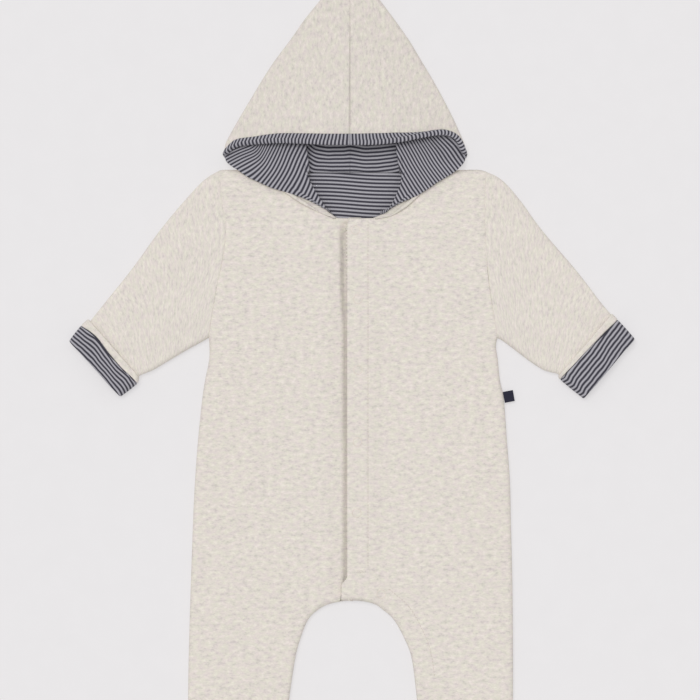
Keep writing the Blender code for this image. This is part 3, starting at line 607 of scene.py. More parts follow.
def panelPlan(side, topCurve, innerTop, innerSide, innerLeg, insideSteps, refine=(), step=None):
    # plan points in rows from the shoulder to the ankle, columns from the outer to the inner edge
    armhole = line["armhole"][side]
    outer = {"armhole": armhole, "side": line["side"][side], "leg": line["legOut"][side]}
    inner = {"armhole": innerTop, "side": innerSide, "leg": innerLeg}
    step = step or cloth["grid"]
    stations = []
    for stretch, near, far in (("armhole", foldSteps, (0.0,)), ("side", (0.0,), foldSteps),
                               ("leg", (0.0,), (0.0,))):
        coarse = spread(stretchSizes[stretch], near, far, step) / stretchSizes[stretch]
        heights = along(inner[stretch], coarse)[:, 1]
        shares = list(coarse)
        for y in refine:  # rows close together beside the snaps
            if stretch != "leg" and min(heights) + 4 < y < max(heights) - 4:
                middle = float(np.interp(-y, -heights, coarse))
                shares += [middle + k / curveLength(inner[stretch]) for k in range(-6, 7)]
        shares = merged(shares, 0.8 / curveLength(inner[stretch]) * 0.9 if refine else 1e-4)
        stations += [(stretch, share) for share in shares[1 if stations else 0:]]
    width0 = float(np.linalg.norm(armhole[0] - innerTop[0]))
    count = len(spread(width0, foldSteps, insideSteps, step))
    rows = []
    for stretch, share in stations:
        ends = (along(outer[stretch], share), along(inner[stretch], share))
        width = float(np.linalg.norm(ends[0] - ends[1]))
        middle = np.linspace(foldSteps[-1], width - insideSteps[-1],
                             count - len(foldSteps) - len(insideSteps) + 2)
        places = np.array(list(foldSteps[:-1]) + list(middle) + [width - f for f in insideSteps[-2::-1]])
        shares = places / width
        row = ends[0] + (ends[1] - ends[0]) * shares[:, None]
        if stretch == "armhole" and share < 0.8:
            fade = (1.0 - share / 0.8) ** 2
            straight = armhole[0] + (innerTop[0] - armhole[0]) * shares[:, None]
            row = row + (along(topCurve, shares) - straight) * fade
        rows.append(row)
    return np.array(rows)


def wrapEnds(plan, edges):
    # adds rows or columns that turn round an edge and go back inside: plan, and how deep each lies
    depth = np.zeros(plan.shape[:2])
    radius = cloth["edge"]
    turns = [math.radians(a) for a in halfTurn]
    for edge in edges:
        swap = edge == "inner"
        grid = plan.transpose(1, 0, 2) if swap else plan
        deep = depth.T if swap else depth
        if edge == "top":
            grid = grid[::-1]
            deep = deep[::-1]
        last = grid[-1].copy()
        inward = unit(grid[-3] - last)
        here = np.ones(len(last)) if edge == "ankle" else ease((nearestFold(last)[0] - 0.6) / 5.0)
        inward = inward * here[:, None]
        extra = [last + inward * radius * (1.0 - math.sin(a)) for a in turns]
        extra.append(last + inward * cloth["facing"])
        extraDeep = [deep[-1] + radius * (1.0 - math.cos(a)) * here for a in turns]
        extraDeep.append(deep[-1] + 2 * radius * here)
        near = np.linalg.norm(grid - last, axis=-1)
        room = np.where(near < 12.0, (radius * (1.0 - near / 12.0)) * here, 0.0)
        grid = np.concatenate([grid + inward * room[..., None], np.array(extra)])
        deep = np.concatenate([deep, np.array(extraDeep)])
        if edge == "top":
            grid = grid[::-1]
            deep = deep[::-1]
        plan = grid.transpose(1, 0, 2) if swap else grid
        depth = deep.T if swap else deep
    return plan, depth


def armholeDip(plan, d, beside):  # how far the cloth goes down at the armhole seams
    seams = np.vstack([along(line["armhole"][side], np.linspace(0, 1, 160)) for side in beside])
    return front["seamDip"] * np.exp(-(distanceTo(seams, plan) / 1.1) ** 2) * ease(d / 4.0)


def makeFront(side):
    right = side == "right"
    sign = 1.0 if right else -1.0
    edge = np.array(outline["frontEdge"][side])
    turn = np.array([np.interp(-front["chestY"], -edge[:, 1], edge[:, 0]), front["chestY"]])
    upper = np.vstack([edge[edge[:, 1] > front["chestY"]], turn])
    lower = np.vstack([turn, edge[edge[:, 1] < front["chestY"]]])
    corner = edge[-1]
    inner = [corner[None]]
    if right:  # the lap reaches past the middle of the arch
        other = line["legIn"]["left"][::-1]
        inner.append(other[other[:, 0] > corner[0] + 1.0])
    legIn = line["legIn"][side]
    inner.append(legIn[legIn[:, 0] * sign > corner[0] * sign + 1.0])
    neckLine = line["neck"][side] + np.array((sign * 0.4, -0.3))
    top = np.vstack([line["shoulder"][side], neckLine[-2::-1], edge[:1]])
    plan = panelPlan(side, top, upper, lower, np.vstack(inner), placketSteps if right else foldSteps,
                     [y for x, y in snapPlaces] if right else ())
    plan, depth = wrapEnds(plan, ("ankle", "inner", "top") if right else ("ankle", "top"))
    flat = plan.reshape(-1, 2)
    depth = depth.reshape(-1)
    points, d, rise, unrolled = foldHeight(flat, cloth["fold"], cloth["fold"], True, depth)
    flap = line["face"][side]
    flapEdge = np.interp(flat[:, 0] * sign, flap[::-1, 0] * sign, flap[::-1, 1])
    full = ease(d / 14.0) * ease((flapEdge + 2.0 - flat[:, 1]) / 9.0)  # flat where the hood lies on it
    height = front["puff"] * full * ease(d / 45.0)
    height += softWaves(flat, *front["waves"], 1.7 if right else 0.0) * full
    height += pressed(flat, frontCreases[side]) * full
    height += frontLift(side, flat)
    height -= armholeDip(flat, d, (side,))
    if right:
        inStitch = np.exp(-((flat[:, 0] - front["stitchX"]) / 1.0) ** 2)
        height -= front["stitchDip"] * inStitch * ease((flat[:, 1] + 192.0) / 3.0)
        for x, y in snapPlaces[:5]:
            r = np.hypot(flat[:, 0] - x, flat[:, 1] - y)
            for deep, far, wide in front["snapDents"]:
                height -= deep * np.exp(-((r - far) / wide) ** 2)
        seen = ease((-218.0 - flat[:, 1]) / 8.0) * ease((flat[:, 1] + 330.0) / 60.0)
        fromStitch = distanceTo(legIn, flat) - front["archStitch"]
        height -= front["archDip"] * np.exp(-(fromStitch / 1.2) ** 2) * seen
    points[:, 2] += height * rise
    lowest = cloth["fold"] + 0.1 - depth
    if not right:  # the gap beside the placket goes a little deeper
        lowest -= 1.5 * ease((flat[:, 0] + 13.0) / 5.0) * ease((143.0 - flat[:, 1]) / 8.0)
    points[:, 2] = np.maximum(points[:, 2], lowest)
    piece = clothPiece("frontCloth_" + side, "front_" + side, points.reshape(*plan.shape[:2], 3),
                       unrolled / cm, marlKnit, cloth["shell"])


def makeBack():
    halves = []
    for side in sides:
        upper = np.array(((0.0, 194.0), (0.0, 30.0)))
        lower = np.array(((0.0, 30.0), line["legIn"][side][0]))
        top = np.vstack([line["shoulder"][side], upper[:1]])
        halves.append(panelPlan(side, top, upper, lower, line["legIn"][side], foldSteps, step=3.6))
    between = halves[0].shape[1] - 1  # column of faces that closes to nothing, or spans the legs
    plan = np.concatenate([halves[0], halves[1][:, ::-1]], axis=1)
    plan, depth = wrapEnds(plan, ("ankle",))
    flat = plan.reshape(-1, 2)
    points, d, _, unrolled = foldHeight(flat, cloth["fold"], cloth["fold"], False, depth.reshape(-1))
    points[:, 2] = np.minimum(points[:, 2], cloth["fold"] - 0.1)
    points[:, 2] += armholeDip(flat, d, sides)
    piece = clothPiece("backCloth", "back", points.reshape(*plan.shape[:2], 3), unrolled / cm, marlKnit,
                       cloth["shell"], without=between)


for side in sides:
    makeFront(side)
makeBack()
print("body panels made")

# sleeves and turned-up cuffs
sleeve = {
    "rise": 2.8,  # the end lies off the floor, inside the cuff
    "riseFrom": 0.48,
    "riseOver": 0.22,
    "columns": 79,  # across the upper side, between the folds
    "waves": (22.0, 0.55),
    "seamSteps": (0.0, 0.4, 0.9, 1.6, 2.6),
    "tuck": 2.4,  # how far it goes in under the armhole's edge
}
sleeveCreases = {
    "left": ((-150, 62, -172, 84, 6, -0.7), (-146, 44, -182, 56, 6, 0.6), (-196, 60, -214, 30, 8, -0.6),
             (-160, 150, -186, 110, 11, 0.5), (-214, 76, -230, 44, 7, 0.5),
             (-140, 118, -158, 92, 8, -0.4),
             (-190, 22, -206, 36, 5, -0.5), (-226, 58, -206, 6, 5, -0.35)),
    "right": ((152, 60, 176, 80, 6, -0.7), (150, 42, 184, 52, 6, 0.6), (196, 62, 216, 34, 8, -0.5),
              (164, 148, 188, 106, 11, 0.5), (214, 78, 232, 48, 7, 0.5), (142, 120, 160, 96, 8, -0.4),
              (190, 20, 204, 34, 5, -0.5), (222, 60, 204, 12, 5, -0.35)),
}


def makeSleeve(side):
    topLine, lowLine, hole = (line[name][side] for name in ("sleeveTop", "sleeveUnder", "armhole"))
    length = curveLength(topLine)
    stations = spread(length, sleeve["seamSteps"], (0.0,), cloth["grid"]) / length
    stations = np.concatenate([[-sleeve["tuck"] / length, -0.5 * sleeve["tuck"] / length], stations])
    rings = []
    uvs = []
    for a in stations:  # share of the way from the armhole to the cuff
        grow = float(ease((a - sleeve["riseFrom"]) / sleeve["riseOver"]))
        low = sleeve["rise"] * grow
        high = cloth["laid"] + 0.3 * grow - float(ease((a - 0.72) / 0.15))
        half = (high - low) / 2
        upper = along(topLine, a)
        lower = along(lowLine, a)
        fromSeam = a * length
        tuck = min(fromSeam, 0.0) * (1.0 if side == "right" else -1.0)
        width = float(np.linalg.norm(upper - lower))
        near = np.array(roundSteps(half))
        inside = np.linspace(near[-1], width - near[-1], sleeve["columns"])
        shares = np.concatenate([near[:-1], inside, width - near[-2::-1]]) / width
        bend = along(hole, shares) - (hole[0] + (hole[-1] - hole[0]) * shares[:, None])
        plan = upper + (lower - upper) * shares[:, None] + bend * min(1.0, 1.0 - a)
        ring = []
        for isUpper in (True, False):
            points, d, rise, _ = foldHeight(plan, (high + low) / 2, half, isUpper)
            if isUpper:
                full = ease(d / 12.0)
                lump = softWaves(plan, *sleeve["waves"], 3.1 if side == "left" else 0.4) * full
                lump += pressed(plan, sleeveCreases[side]) * full + 0.7 * ease(d / 30.0)
                points[:, 2] += lump * rise * ease(1.0 - (a - 0.8) / 0.09)
            points[0, 2] = points[-1, 2] = (high + low) / 2
            dip = (front["seamDip"] + 0.15) * math.exp(-(max(0.0, fromSeam) / 1.3) ** 2)
            dip += 0.35 * max(0.0, -fromSeam)
            points[:, 2] -= (dip if isUpper else -dip) * ease(d / 4.0)
            points[:, 0] += tuck * ease(d / 6.0)
            ring.append(points)
        rings.append(np.concatenate([ring[0], ring[1][-2::-1]]))
        across = lengthAlong(rings[-1])
        uvs.append(np.stack([across, np.full(len(across), fromSeam)], axis=1) / cm)
    piece = clothPiece("sleeveCloth_" + side, "sleeve_" + side, np.array(rings), np.array(uvs), marlKnit,
                       cloth["shell"])


cuff = {
    "height": 12.6,
    "hemLower": 0.2,  # how much lower the hem lies
    "round": 1.25,  # of the folded band
    "hemRound": 1.0,
    "ripple": 0.45,
    "hemRipple": 0.3,
    "left": {"fold": ((-275.9, 30.7), (-226.2, -23.9)), "band": ((-264.2, 45.8), (-209.1, -10.7)),
             "hem": ((-257.4, 52.2), (-207.6, -4.4)), "cut": (0.160, 0.022), "hemCut": (0.160, 0.0105),
             "bulge": ((0.0, 0.0), (0.12, 2.3), (0.25, 3.1), (0.38, 1.9), (0.5, 0.5), (0.7, -0.4),
                       (0.85, 0.1),
                       (1.0, 0.0)),  # towards the sleeve
             # share along the fold, first navy line from it and pitch of the lines
             "lines": ((0.0, 0.1, 3.25), (0.12, 0.4, 3.14), (0.25, 1.1, 3.3), (0.38, 1.6, 3.35),
                       (0.5, 1.8, 3.35), (0.62, 2.1, 3.2), (0.75, 1.8, 3.28), (0.88, 1.0, 3.6),
                       (0.96, 0.0, 3.6), (1.0, -1.3, 3.6))},
    "right": {"fold": ((275.9, 32.7), (226.2, -25.8)), "band": ((259.0, 51.6), (202.8, -6.8)),
              "hem": ((253.6, 57.4), (201.0, -3.4)), "cut": (0.165, 0.028), "hemCut": (0.150, 0.0101),
              "bulge": ((0.0, 0.0), (0.25, 0.4), (0.5, 0.6), (0.75, 0.4), (1.0, 0.0)),
              "lines": ((0.0, 1.8, 4.0), (0.12, 1.2, 4.0), (0.25, 0.8, 3.95), (0.38, -0.1, 3.88),
                        (0.5, -1.2, 3.88), (0.62, -1.8, 3.97), (0.75, -2.1, 3.95), (0.88, -2.2, 3.95),
                        (0.95, -4.0, 4.05), (1.0, -2.4, 4.05))},
}


def flatRing(first, last, low, high, columns=44):  # closed section of a flattened tube
    half = (high - low) / 2
    run = last - first
    width = float(np.linalg.norm(run))
    bend = np.radians((72, 54, 36, 18, 0, -18, -36, -54, -72))
    top = np.linspace(half, width - half, columns)
    across = np.concatenate([top, width - half + half * np.cos(bend), top[::-1],
                             half - half * np.cos(bend[::-1]), top[:1]])
    lift = np.concatenate([np.full(columns, half), half * np.sin(bend), np.full(columns, -half),
                           half * np.sin(bend[::-1]), [half]])
    plan = first + run / width * across[:, None]
    return np.concatenate([plan, (high + low) / 2 + lift[:, None]], axis=1), across


def cuffWaves(side, start, end, share, plan):  # ripples of the turned-up band
    run = end - start
    width = float(np.linalg.norm(run))
    t = ((plan[:, :2] - start) @ run) / width ** 2
    turn = 0.6 if side == "left" else 2.2
    wave = np.sin(9.5 * t + turn + 2.0 * share) + 0.45 * np.sin(17.0 * t + 1.0 - 3.0 * share)
    wave += 0.25 * np.sin(26.0 * t + 4.0 * share)
    return wave, ease((plan[:, 2] - cuff["height"] * 0.6) / 3.0)


def bandProfile(length, radius):
    # share along the arm and inset from the outside: over the top, round the fold, back inside
    # and round the other edge; also how many of them lie on the top
    lap = radius / length
    inner = 1.0 - 2 * radius / length
    steps = int(length / 0.9) + 1
    profile = [(1.0 - inner * k / steps - lap, 0.0) for k in range(steps + 1)]
    turns = [math.radians(a) for a in halfTurn]
    profile += [(lap * (1.0 - math.sin(a)), radius * (1.0 - math.cos(a))) for a in turns]
    profile += [(lap + inner * k / 4, 2 * radius) for k in range(1, 5)]
    profile += [(1.0 - lap * (1.0 - math.sin(a)), radius * (1.0 + math.cos(a))) for a in turns]
    return profile, steps + 1


def makeBand(side, name, start, end, outward, striped):
    # the striped band of a turned-up cuff, or the plain hem above it
    table = cuff[side]
    length = float(np.mean(np.linalg.norm(end - start, axis=1)))
    radius = cuff["round"] if striped else cuff["hemRound"]
    ripple = cuff["ripple"] if striped else cuff["hemRipple"]
    top = cuff["height"] - (0.0 if striped else cuff["hemLower"])
    bulges = smoothCurve(table["bulge"]).T
    lines = np.array(table["lines"]).T
    profile, onTop = bandProfile(length, radius)
    rings = []
    uvs = []
    run = 0.0  # of the cloth so far
    turned = 0.0  # of it, what went round the fold and on inside
    for number, (share, inset) in enumerate(profile):
        first = start[0] + (end[0] - start[0]) * share
        final = start[1] + (end[1] - start[1]) * share
        cross = (final - first) / np.linalg.norm(final - first)
        swell = 0.5 * math.sin(math.pi * min(1.0, max(0.0, share)))
        short = cross * (inset - swell * 0.6)
        ring, across = flatRing(first + short, final - short, inset, top - inset + swell * 0.4)
        wave, upper = cuffWaves(side, first, final, share, ring)
        ring[:, 2] += ripple * wave * upper * (1.0 if inset < 2 * radius else 0.3)
        t = across / max(across)
        bulge = np.interp(t, *bulges) * (share if striped else 1.0 - share)
        shift = 0.35 * wave * ripple * (0.9 if striped else 0.6)
        ring[:, :2] += outward * (shift - bulge)[:, None]
        step = float(np.mean(np.linalg.norm(ring[:30] - rings[-1][:30], axis=1))) if rings else 0.0
        rings.append(ring)
        run += step
        if number >= onTop:
            turned += step
        overBand = end - start
        sizes = np.linalg.norm(overBand[0] + (overBand[1] - overBand[0]) * t[:, None], axis=1)
        fromFold = (share if number < onTop else radius / length) * sizes - turned
        firstLine = np.interp(t, lines[0], lines[1])
        pitch = np.interp(t, lines[0], lines[2])
        stray = 0.035 * np.sin(23.0 * t + 0.3 * fromFold) + 0.02 * np.sin(61.0 * t - 0.2 * fromFold)
        uvs.append(np.stack([across / 3.7, (fromFold - firstLine) / pitch + stray], axis=1) if striped else
                   np.stack([across, np.full(len(across), run)], axis=1) / cm)
    rings.append(rings[0])
    uvs.append(uvs[-1] if striped else uvs[0])
    finish, slotName = (stripedLining, "striped_lining") if striped else (marlKnit, "shell_knit")
    return clothPiece(name + "_cloth", name, np.array(rings), np.array(uvs), finish, 0.0)


def makeCuff(side):
    table = cuff[side]
    fold, band, hem = (np.array(table[key]) for key in ("fold", "band", "hem"))
    outward = ((fold - band) / np.linalg.norm(fold - band, axis=1)[:, None]).mean(axis=0)
    piece = makeBand(side, "cuff_" + side, fold, band, outward, True)
    piece = makeBand(side, "cuff_hem_" + side, band, hem, outward, False)


for side in sides:
    makeSleeve(side)
    makeCuff(side)
print("sleeves and cuffs made")

# the hood's surface: t goes from the face edge (0) to the tip (1)
topColumns = 46
underColumns = 56
creaseBlend = 0.016
hoodTurns = [math.radians(a) for a in (0, 15, 30, 45, 60, 75, 90)]


def hoodBase(side, x, y, t):  # height of the underside over the floor
    end = hood["rampEnd"] + hood["ridge"] * ease(t / hood["creaseAt"])
    over = hood["overBody"] + (placketRise(x) if side == "right" else 0.0)
    down = 1.0 - ease((t - hood["creaseAt"] + creaseBlend) / (2 * creaseBlend))
    return over * ease((end - y) / (end - hood["rampStart"])) * down


def hoodSurface(side, inset=0.0):
    # half the hood: over the top, round the side fold and back underneath, or a layer inside it
    sign = -1.0 if side == "left" else 1.0
    rim = smoothCurve(hoodSide[side])
    inwards = np.gradient(rim, axis=0)
    inwards = np.stack([inwards[:, 1], -inwards[:, 0]], axis=1) * -sign
    outer = rim + inset * unit(inwards)
    brow = smoothCurve(forehead[side])
    face = line["face"][side]
    neckLine = line["neck"][side]
    centre = hood["x"]
    outer[:, 0] = centre + sign * np.maximum((outer[:, 0] - centre) * sign, 0.0)
    crease = hood["creaseAt"]
    radius = hood["fold"] - inset
    near = [radius * (1.0 - math.cos(a)) for a in hoodTurns]
    lifts = [math.sin(a) for a in hoodTurns]
    shift = hood["layerShift"] * inset / hood["layer"]
    before, after, settled = crease - creaseBlend, crease + creaseBlend, crease + 2 * creaseBlend
    ts = merged(np.concatenate([np.linspace(0.0, before, 42), np.linspace(before, after, 9),
                                np.linspace(after, settled, 6), np.linspace(settled, 1.0, 44)]), 1e-4)
    rows = []
    for t in ts:
        middleTop = np.array((centre, brow[0][1] + (hood["tip"] - hood["tipFlat"] - brow[0][1]) * t))
        cornerY = hood["cornerY"] + (hood["tip"] - hood["cornerY"]) * t
        corner = atY(outer, min(cornerY, outer[-1][1]))
        flare = hood["flare"] * (1.0 - float(ease(t / hood["flareTo"])))
        corner = corner + (atY(rim, min(cornerY, rim[-1][1])) - corner) * flare
        onNeck = along(neckLine, min(1.0, t / crease))
        clear = hood["neckClear"] * (1.0 - inset / hood["layer"]) * ease(t / hood["neckClearFrom"])
        onNeck[0] += sign * clear
        share = (t - crease) / (1.0 - crease)
        startX = neckLine[-1][0] - sign * hood["wallStart"]
        onBack = np.array((startX + (centre - startX) * max(0.0, share), hood["neckY"]))
        swap = float(ease((t - crease + creaseBlend) / (2 * creaseBlend)))
        seamEnd = onNeck + (onBack - onNeck) * swap
        base = float(hoodBase(side, corner[0], corner[1], t - shift))
        width = float(np.linalg.norm(middleTop - corner)) + 1e-6
        across = np.concatenate([np.linspace(0.0, 1.0 - near[-1] / width, topColumns),
                                 [1.0 - n / width for n in near[-2::-1]]])
        across = np.clip(across, 0.0, 1.0)
        lift = np.concatenate([np.ones(topColumns), lifts[-2::-1]])
        straight = middleTop + (corner - middleTop) * across[:, None]
        bend = max(0.0, 1.0 - t / hood["browTo"]) ** 2
        browRow = along(brow, across) + (corner - brow[-1]) * across[:, None]
        plan = straight + (browRow - straight) * bend
        plan[0, 0] = centre
        rise = hood["mouthRise"] * (1.0 - t) ** 1.5
        arch = (1.0 - np.maximum(0.0, (across - 0.05) / 0.95) ** 2) ** 2
        z = base + hood["fold"] + radius * lift + rise * arch
        top = np.concatenate([plan, z[:, None]], axis=1)
        width = float(np.linalg.norm(corner - seamEnd))
        shares = np.concatenate([[n / width for n in near[1:-1]],
                                 np.linspace(near[-1] / width, 1.0, underColumns)])
        lift = np.concatenate([lifts[1:-1], np.ones(underColumns)])
        plan = corner + (seamEnd - corner) * shares[:, None]
        bow = -sign * hood["bow"][side] * np.exp(-((t - crease) / 0.15) ** 2)
        plan[:, 0] += bow * np.sin(math.pi * shares)
        lean = hood["overhang"] * math.exp(-((t - crease - shift + 0.014) / 0.012) ** 2)
        lean -= hood["undercut"] * math.exp(-((t - crease - shift - 0.02) / 0.014) ** 2)
        plan[:, 0] -= sign * lean * np.sin(math.pi * shares) ** 0.5
        bend = max(0.0, 1.0 - t / hood["faceTo"]) ** 2
        faceRow = along(face, shares) + (corner - face[0]) * np.exp(-(shares * width / 3.5) ** 2)[:, None]
        plan = plan + (faceRow - plan) * bend
        if t == 1.0:
            plan[:, 0] = centre
        z = hoodBase(side, plan[:, 0], plan[:, 1], t - shift) + hood["fold"] - radius * lift
        reach = np.clip((shares * width - (width - hood["roll"])) / hood["roll"], 0.0, 1.0)
        drop = (z - hood["neckDepth"] - inset) * (1.0 - np.sqrt(1.0 - reach ** 2)) * (1.0 - swap)
        z = z - np.maximum(0.0, drop)
        under = np.concatenate([plan, z[:, None]], axis=1)
        rows.append(np.concatenate([top, under]))
    return np.array(rows), np.array(ts)


def gridNormals(grid):
    normal = unit(np.cross(np.gradient(grid, axis=1), np.gradient(grid, axis=0)), 1e-9)
    if normal[3, 3, 2] < 0:
        normal = -normal
    normal[:, 0, 0] = 0.0  # the halves meet along the centre
    normal[-1, :, 0] = 0.0
    for _ in range(2):  # evens out the turn at the crease and the folds
        smooth = normal.copy()
        smooth[1:-1] = (normal[:-2] + 2 * normal[1:-1] + normal[2:]) / 4
        smooth[:, 1:-1] = (smooth[:, :-2] + 2 * smooth[:, 1:-1] + smooth[:, 2:]) / 4
        normal = unit(smooth, 1e-9)
    return normal


def towardsFront(columns):  # share of the way from the side fold to the centre front
    past = topColumns + 6
    return np.clip((np.arange(columns) - past) / (columns - past), 0.0, 1.0)


def fromEdge(grid, far, distances):  # points at a distance from the face edge, one in each column
    return np.array([[np.interp(distance, far[:, j], grid[:, j, k]) for k in range(3)]
                     for j, distance in enumerate(distances)])


liningCreases = {
    "left": ((-93, 224, -83, 199, 2.6, -1.2), (-86, 224, -75, 198, 3.4, 0.9),
             (-110, 212, -98, 204, 3.0, 0.6),
             (-50, 226, -43, 198, 3.5, 0.9), (-64, 222, -58, 190, 4.0, -0.5)),
    "right": ((79, 231, 96, 207, 2.6, -1.2), (72, 229, 87, 203, 3.4, 0.9), (66, 222, 76, 196, 4.0, 0.4),
              (52, 228, 50, 198, 3.5, 0.9), (62, 222, 60, 186, 4.0, -0.5)),
}
wallPockets = {
    "left": ((-49, 228, -39, 203, 7.0, -2.4), (-40, 199, -26, 176, 3.0, -1.0)),
    "right": ((50, 228, 48, 205, 6.0, -2.2), (46, 199, 32, 172, 3.0, -0.9)),
}
hoodCreases = {
    "left": ((-90, 236, -70, 262, 8, -0.5), (-50, 240, -46, 290, 12, 0.6),
             (-30, 300, -24, 350, 8, -0.4),
             (-104, 236, -92, 256, 6, 0.5)),
    "right": ((84, 240, 68, 266, 8, -0.5), (44, 244, 40, 292, 12, 0.6), (26, 300, 20, 350, 8, -0.4),
              (98, 238, 88, 254, 6, 0.5)),
}


def makeHood(side):
    sign = -1.0 if side == "left" else 1.0
    grid, ts = hoodSurface(side)
    normals = gridNormals(grid)
    flat = grid.reshape(-1, 3)
    seen = np.zeros(grid.shape[:2])
    seen[:, :topColumns] = 1.0
    lump = softWaves(flat[:, :2], *hood["waves"], 0.9 if side == "left" else 2.3)
    lump += pressed(flat[:, :2], hoodCreases[side])
    fromCentre = np.abs(flat[:, 0] - hood["x"])
    lump = lump * ease(fromCentre / 10.0) - 0.7 * np.exp(-(fromCentre / 1.8) ** 2)
    far = lengthAlong(grid)  # from the face edge
    shell = grid.copy()
    flatBand = ease((far - 8.0) / 12.0)
    shell[:, :, 2] += lump.reshape(grid.shape[:2]) * seen * ease((1.0 - ts) / 0.1)[:, None] * flatBand
    # the face edge turns inwards; the lining shows at the flap's edge, the shell only near the front
    inward = unit(grid[2] - grid[0])
    fromCorner = towardsFront(grid.shape[1])
    run = lengthAlong(grid[0])
    fold = run[topColumns + 3]
    fromFold = np.minimum(np.abs(run - fold), run[-1] - run)
    pull = np.where(fromCorner > 0.0, 1.9 * (1.0 - ease((fromCorner - 0.5) / 0.22)), 0.4)
    pull = pull + np.where(fromCorner > 0.5, 0.0, 1.0 * np.exp(-((run - fold) / 9.0) ** 2)
                           * ease((run - run[topColumns]) / 4.0))
    pull = pull[:, None]
    edge = grid[0] + inward * pull
    here = ease((fromFold - hood["cornerFlat"]) / hood["cornerFade"])[:, None]
    turn = cloth["edge"] * here  # flat at the corners
    turned = []
    for a in halfTurn[::-1]:
        turned.append(edge + inward * turn * (1.0 - math.sin(math.radians(a)))
                      - normals[0] * turn * (1.0 - math.cos(math.radians(a))))
    room = (pull + turn)[:, 0]
    moved = np.where(far < hood["room"], room * (1.0 - far / hood["room"]), 0.0)
    shell = shell + inward * moved[..., None]
    reach = pull[:, 0] + 0.3 + 4.7 * here[:, 0]
    back = fromEdge(grid, far, reach) - fromEdge(normals, far, reach) * 2 * turn
    shell = np.concatenate([[back], turned, shell])
    across = lengthAlong(shell.transpose(1, 0, 2)).T * sign
    uv = np.stack([shell[:, :, 1], across], axis=-1) / cm
    piece = clothPiece("hoodCloth_" + side, "hood_" + side, shell, uv, hoodKnitPaintedShade, cloth["shell"])
    makeHoodLining(side, normals[0])
    makeBinding(side, grid, normals)


# where the stripes of the hood's lining run: x, y, angle in degrees and how wide one repeat shows
flapStripes = {
    "left": ((-29.0, 172.0, 68, 3.8), (-38.0, 186.0, 70, 3.9), (-50.0, 202.0, 67, 3.9),
             (-56.0, 216.0, 64, 3.8), (-45.0, 172.0, 62, 3.9), (-62.0, 186.0, 60, 3.8),
             (-75.0, 203.0, 61, 3.5), (-82.0, 216.0, 62, 3.0), (-82.0, 192.0, 53, 3.6),
             (-97.0, 201.0, 42, 3.4), (-100.0, 215.0, 20, 2.8), (-113.0, 210.0, 24, 2.9),
             (-110.0, 202.0, 36, 3.2)),
    "right": ((33.0, 168.0, 118, 3.7), (43.0, 180.0, 120, 3.6), (55.0, 190.0, 121, 3.3),
              (55.0, 210.0, 119, 3.1), (68.0, 196.0, 124, 3.0), (72.0, 215.0, 122, 2.9),
              (84.0, 200.0, 128, 3.0), (86.0, 222.0, 135, 3.0), (98.0, 206.0, 130, 3.3),
              (99.0, 220.0, 139, 3.6), (106.0, 212.0, 128, 3.7)),
}
backStripes = ((0.0, 197.0, 0, 3.72), (-12.0, 205.0, 0, 3.72), (-14.0, 220.0, -1, 3.72),
               (-30.0, 199.0, -4, 3.72), (-31.0, 216.0, -10, 3.72), (-42.0, 206.0, -34, 3.6),
               (-46.0, 219.0, -38, 3.5), (6.0, 206.0, -8, 3.72), (5.0, 220.0, -10, 3.72),
               (16.0, 205.0, 1, 3.72), (20.0, 220.0, 3, 3.72), (34.0, 203.0, 7, 3.72),
               (36.0, 219.0, 7, 3.72), (47.0, 204.0, 15, 3.6), (49.0, 219.0, 10, 3.6))


def laidStripes(plan, marks, first, reach):
    # counts the repeats over a piece from how they run at a few marks
    places = np.array([mark[:2] for mark in marks])
    angles = np.radians([mark[2] for mark in marks])
    slopes = np.stack([-np.sin(angles), np.cos(angles)], axis=1) / np.array([m[3] for m in marks])[:, None]
    counts = [first]
    for i in range(1, len(marks)):
        k = int(np.argmin(np.linalg.norm(places[:i] - places[i], axis=1)))
        counts.append(counts[k] + float((slopes[i] + slopes[k]) @ (places[i] - places[k])) / 2)
    total = 0.0
    weight = 1e-9
    for place, slope, count in zip(places, slopes, counts):
        over = plan - place
        near = np.exp(-(over ** 2).sum(axis=-1) / reach ** 2) + 1e-7
        total = total + near * (count + over @ slope)
        weight = weight + near
    return total / weight


def neckCount(x, y):
    return (y + 0.05 * x) / stripes["pitch"]


def liningStripes(side, grid, ts):
    # the stripes run level on the back wall and turn where the cloth folds onto the front
    plan = grid[:, :, :2]
    marks = flapStripes[side]
    onFlap = laidStripes(plan, marks, neckCount(*marks[0][:2]), 11.0)
    onBack = laidStripes(plan, backStripes, neckCount(*backStripes[0][:2]), 8.0)
    turn = ease((ts - hood["creaseAt"] - 0.012) / 0.01)[:, None]
    return onFlap * (1.0 - turn) + onBack * turn


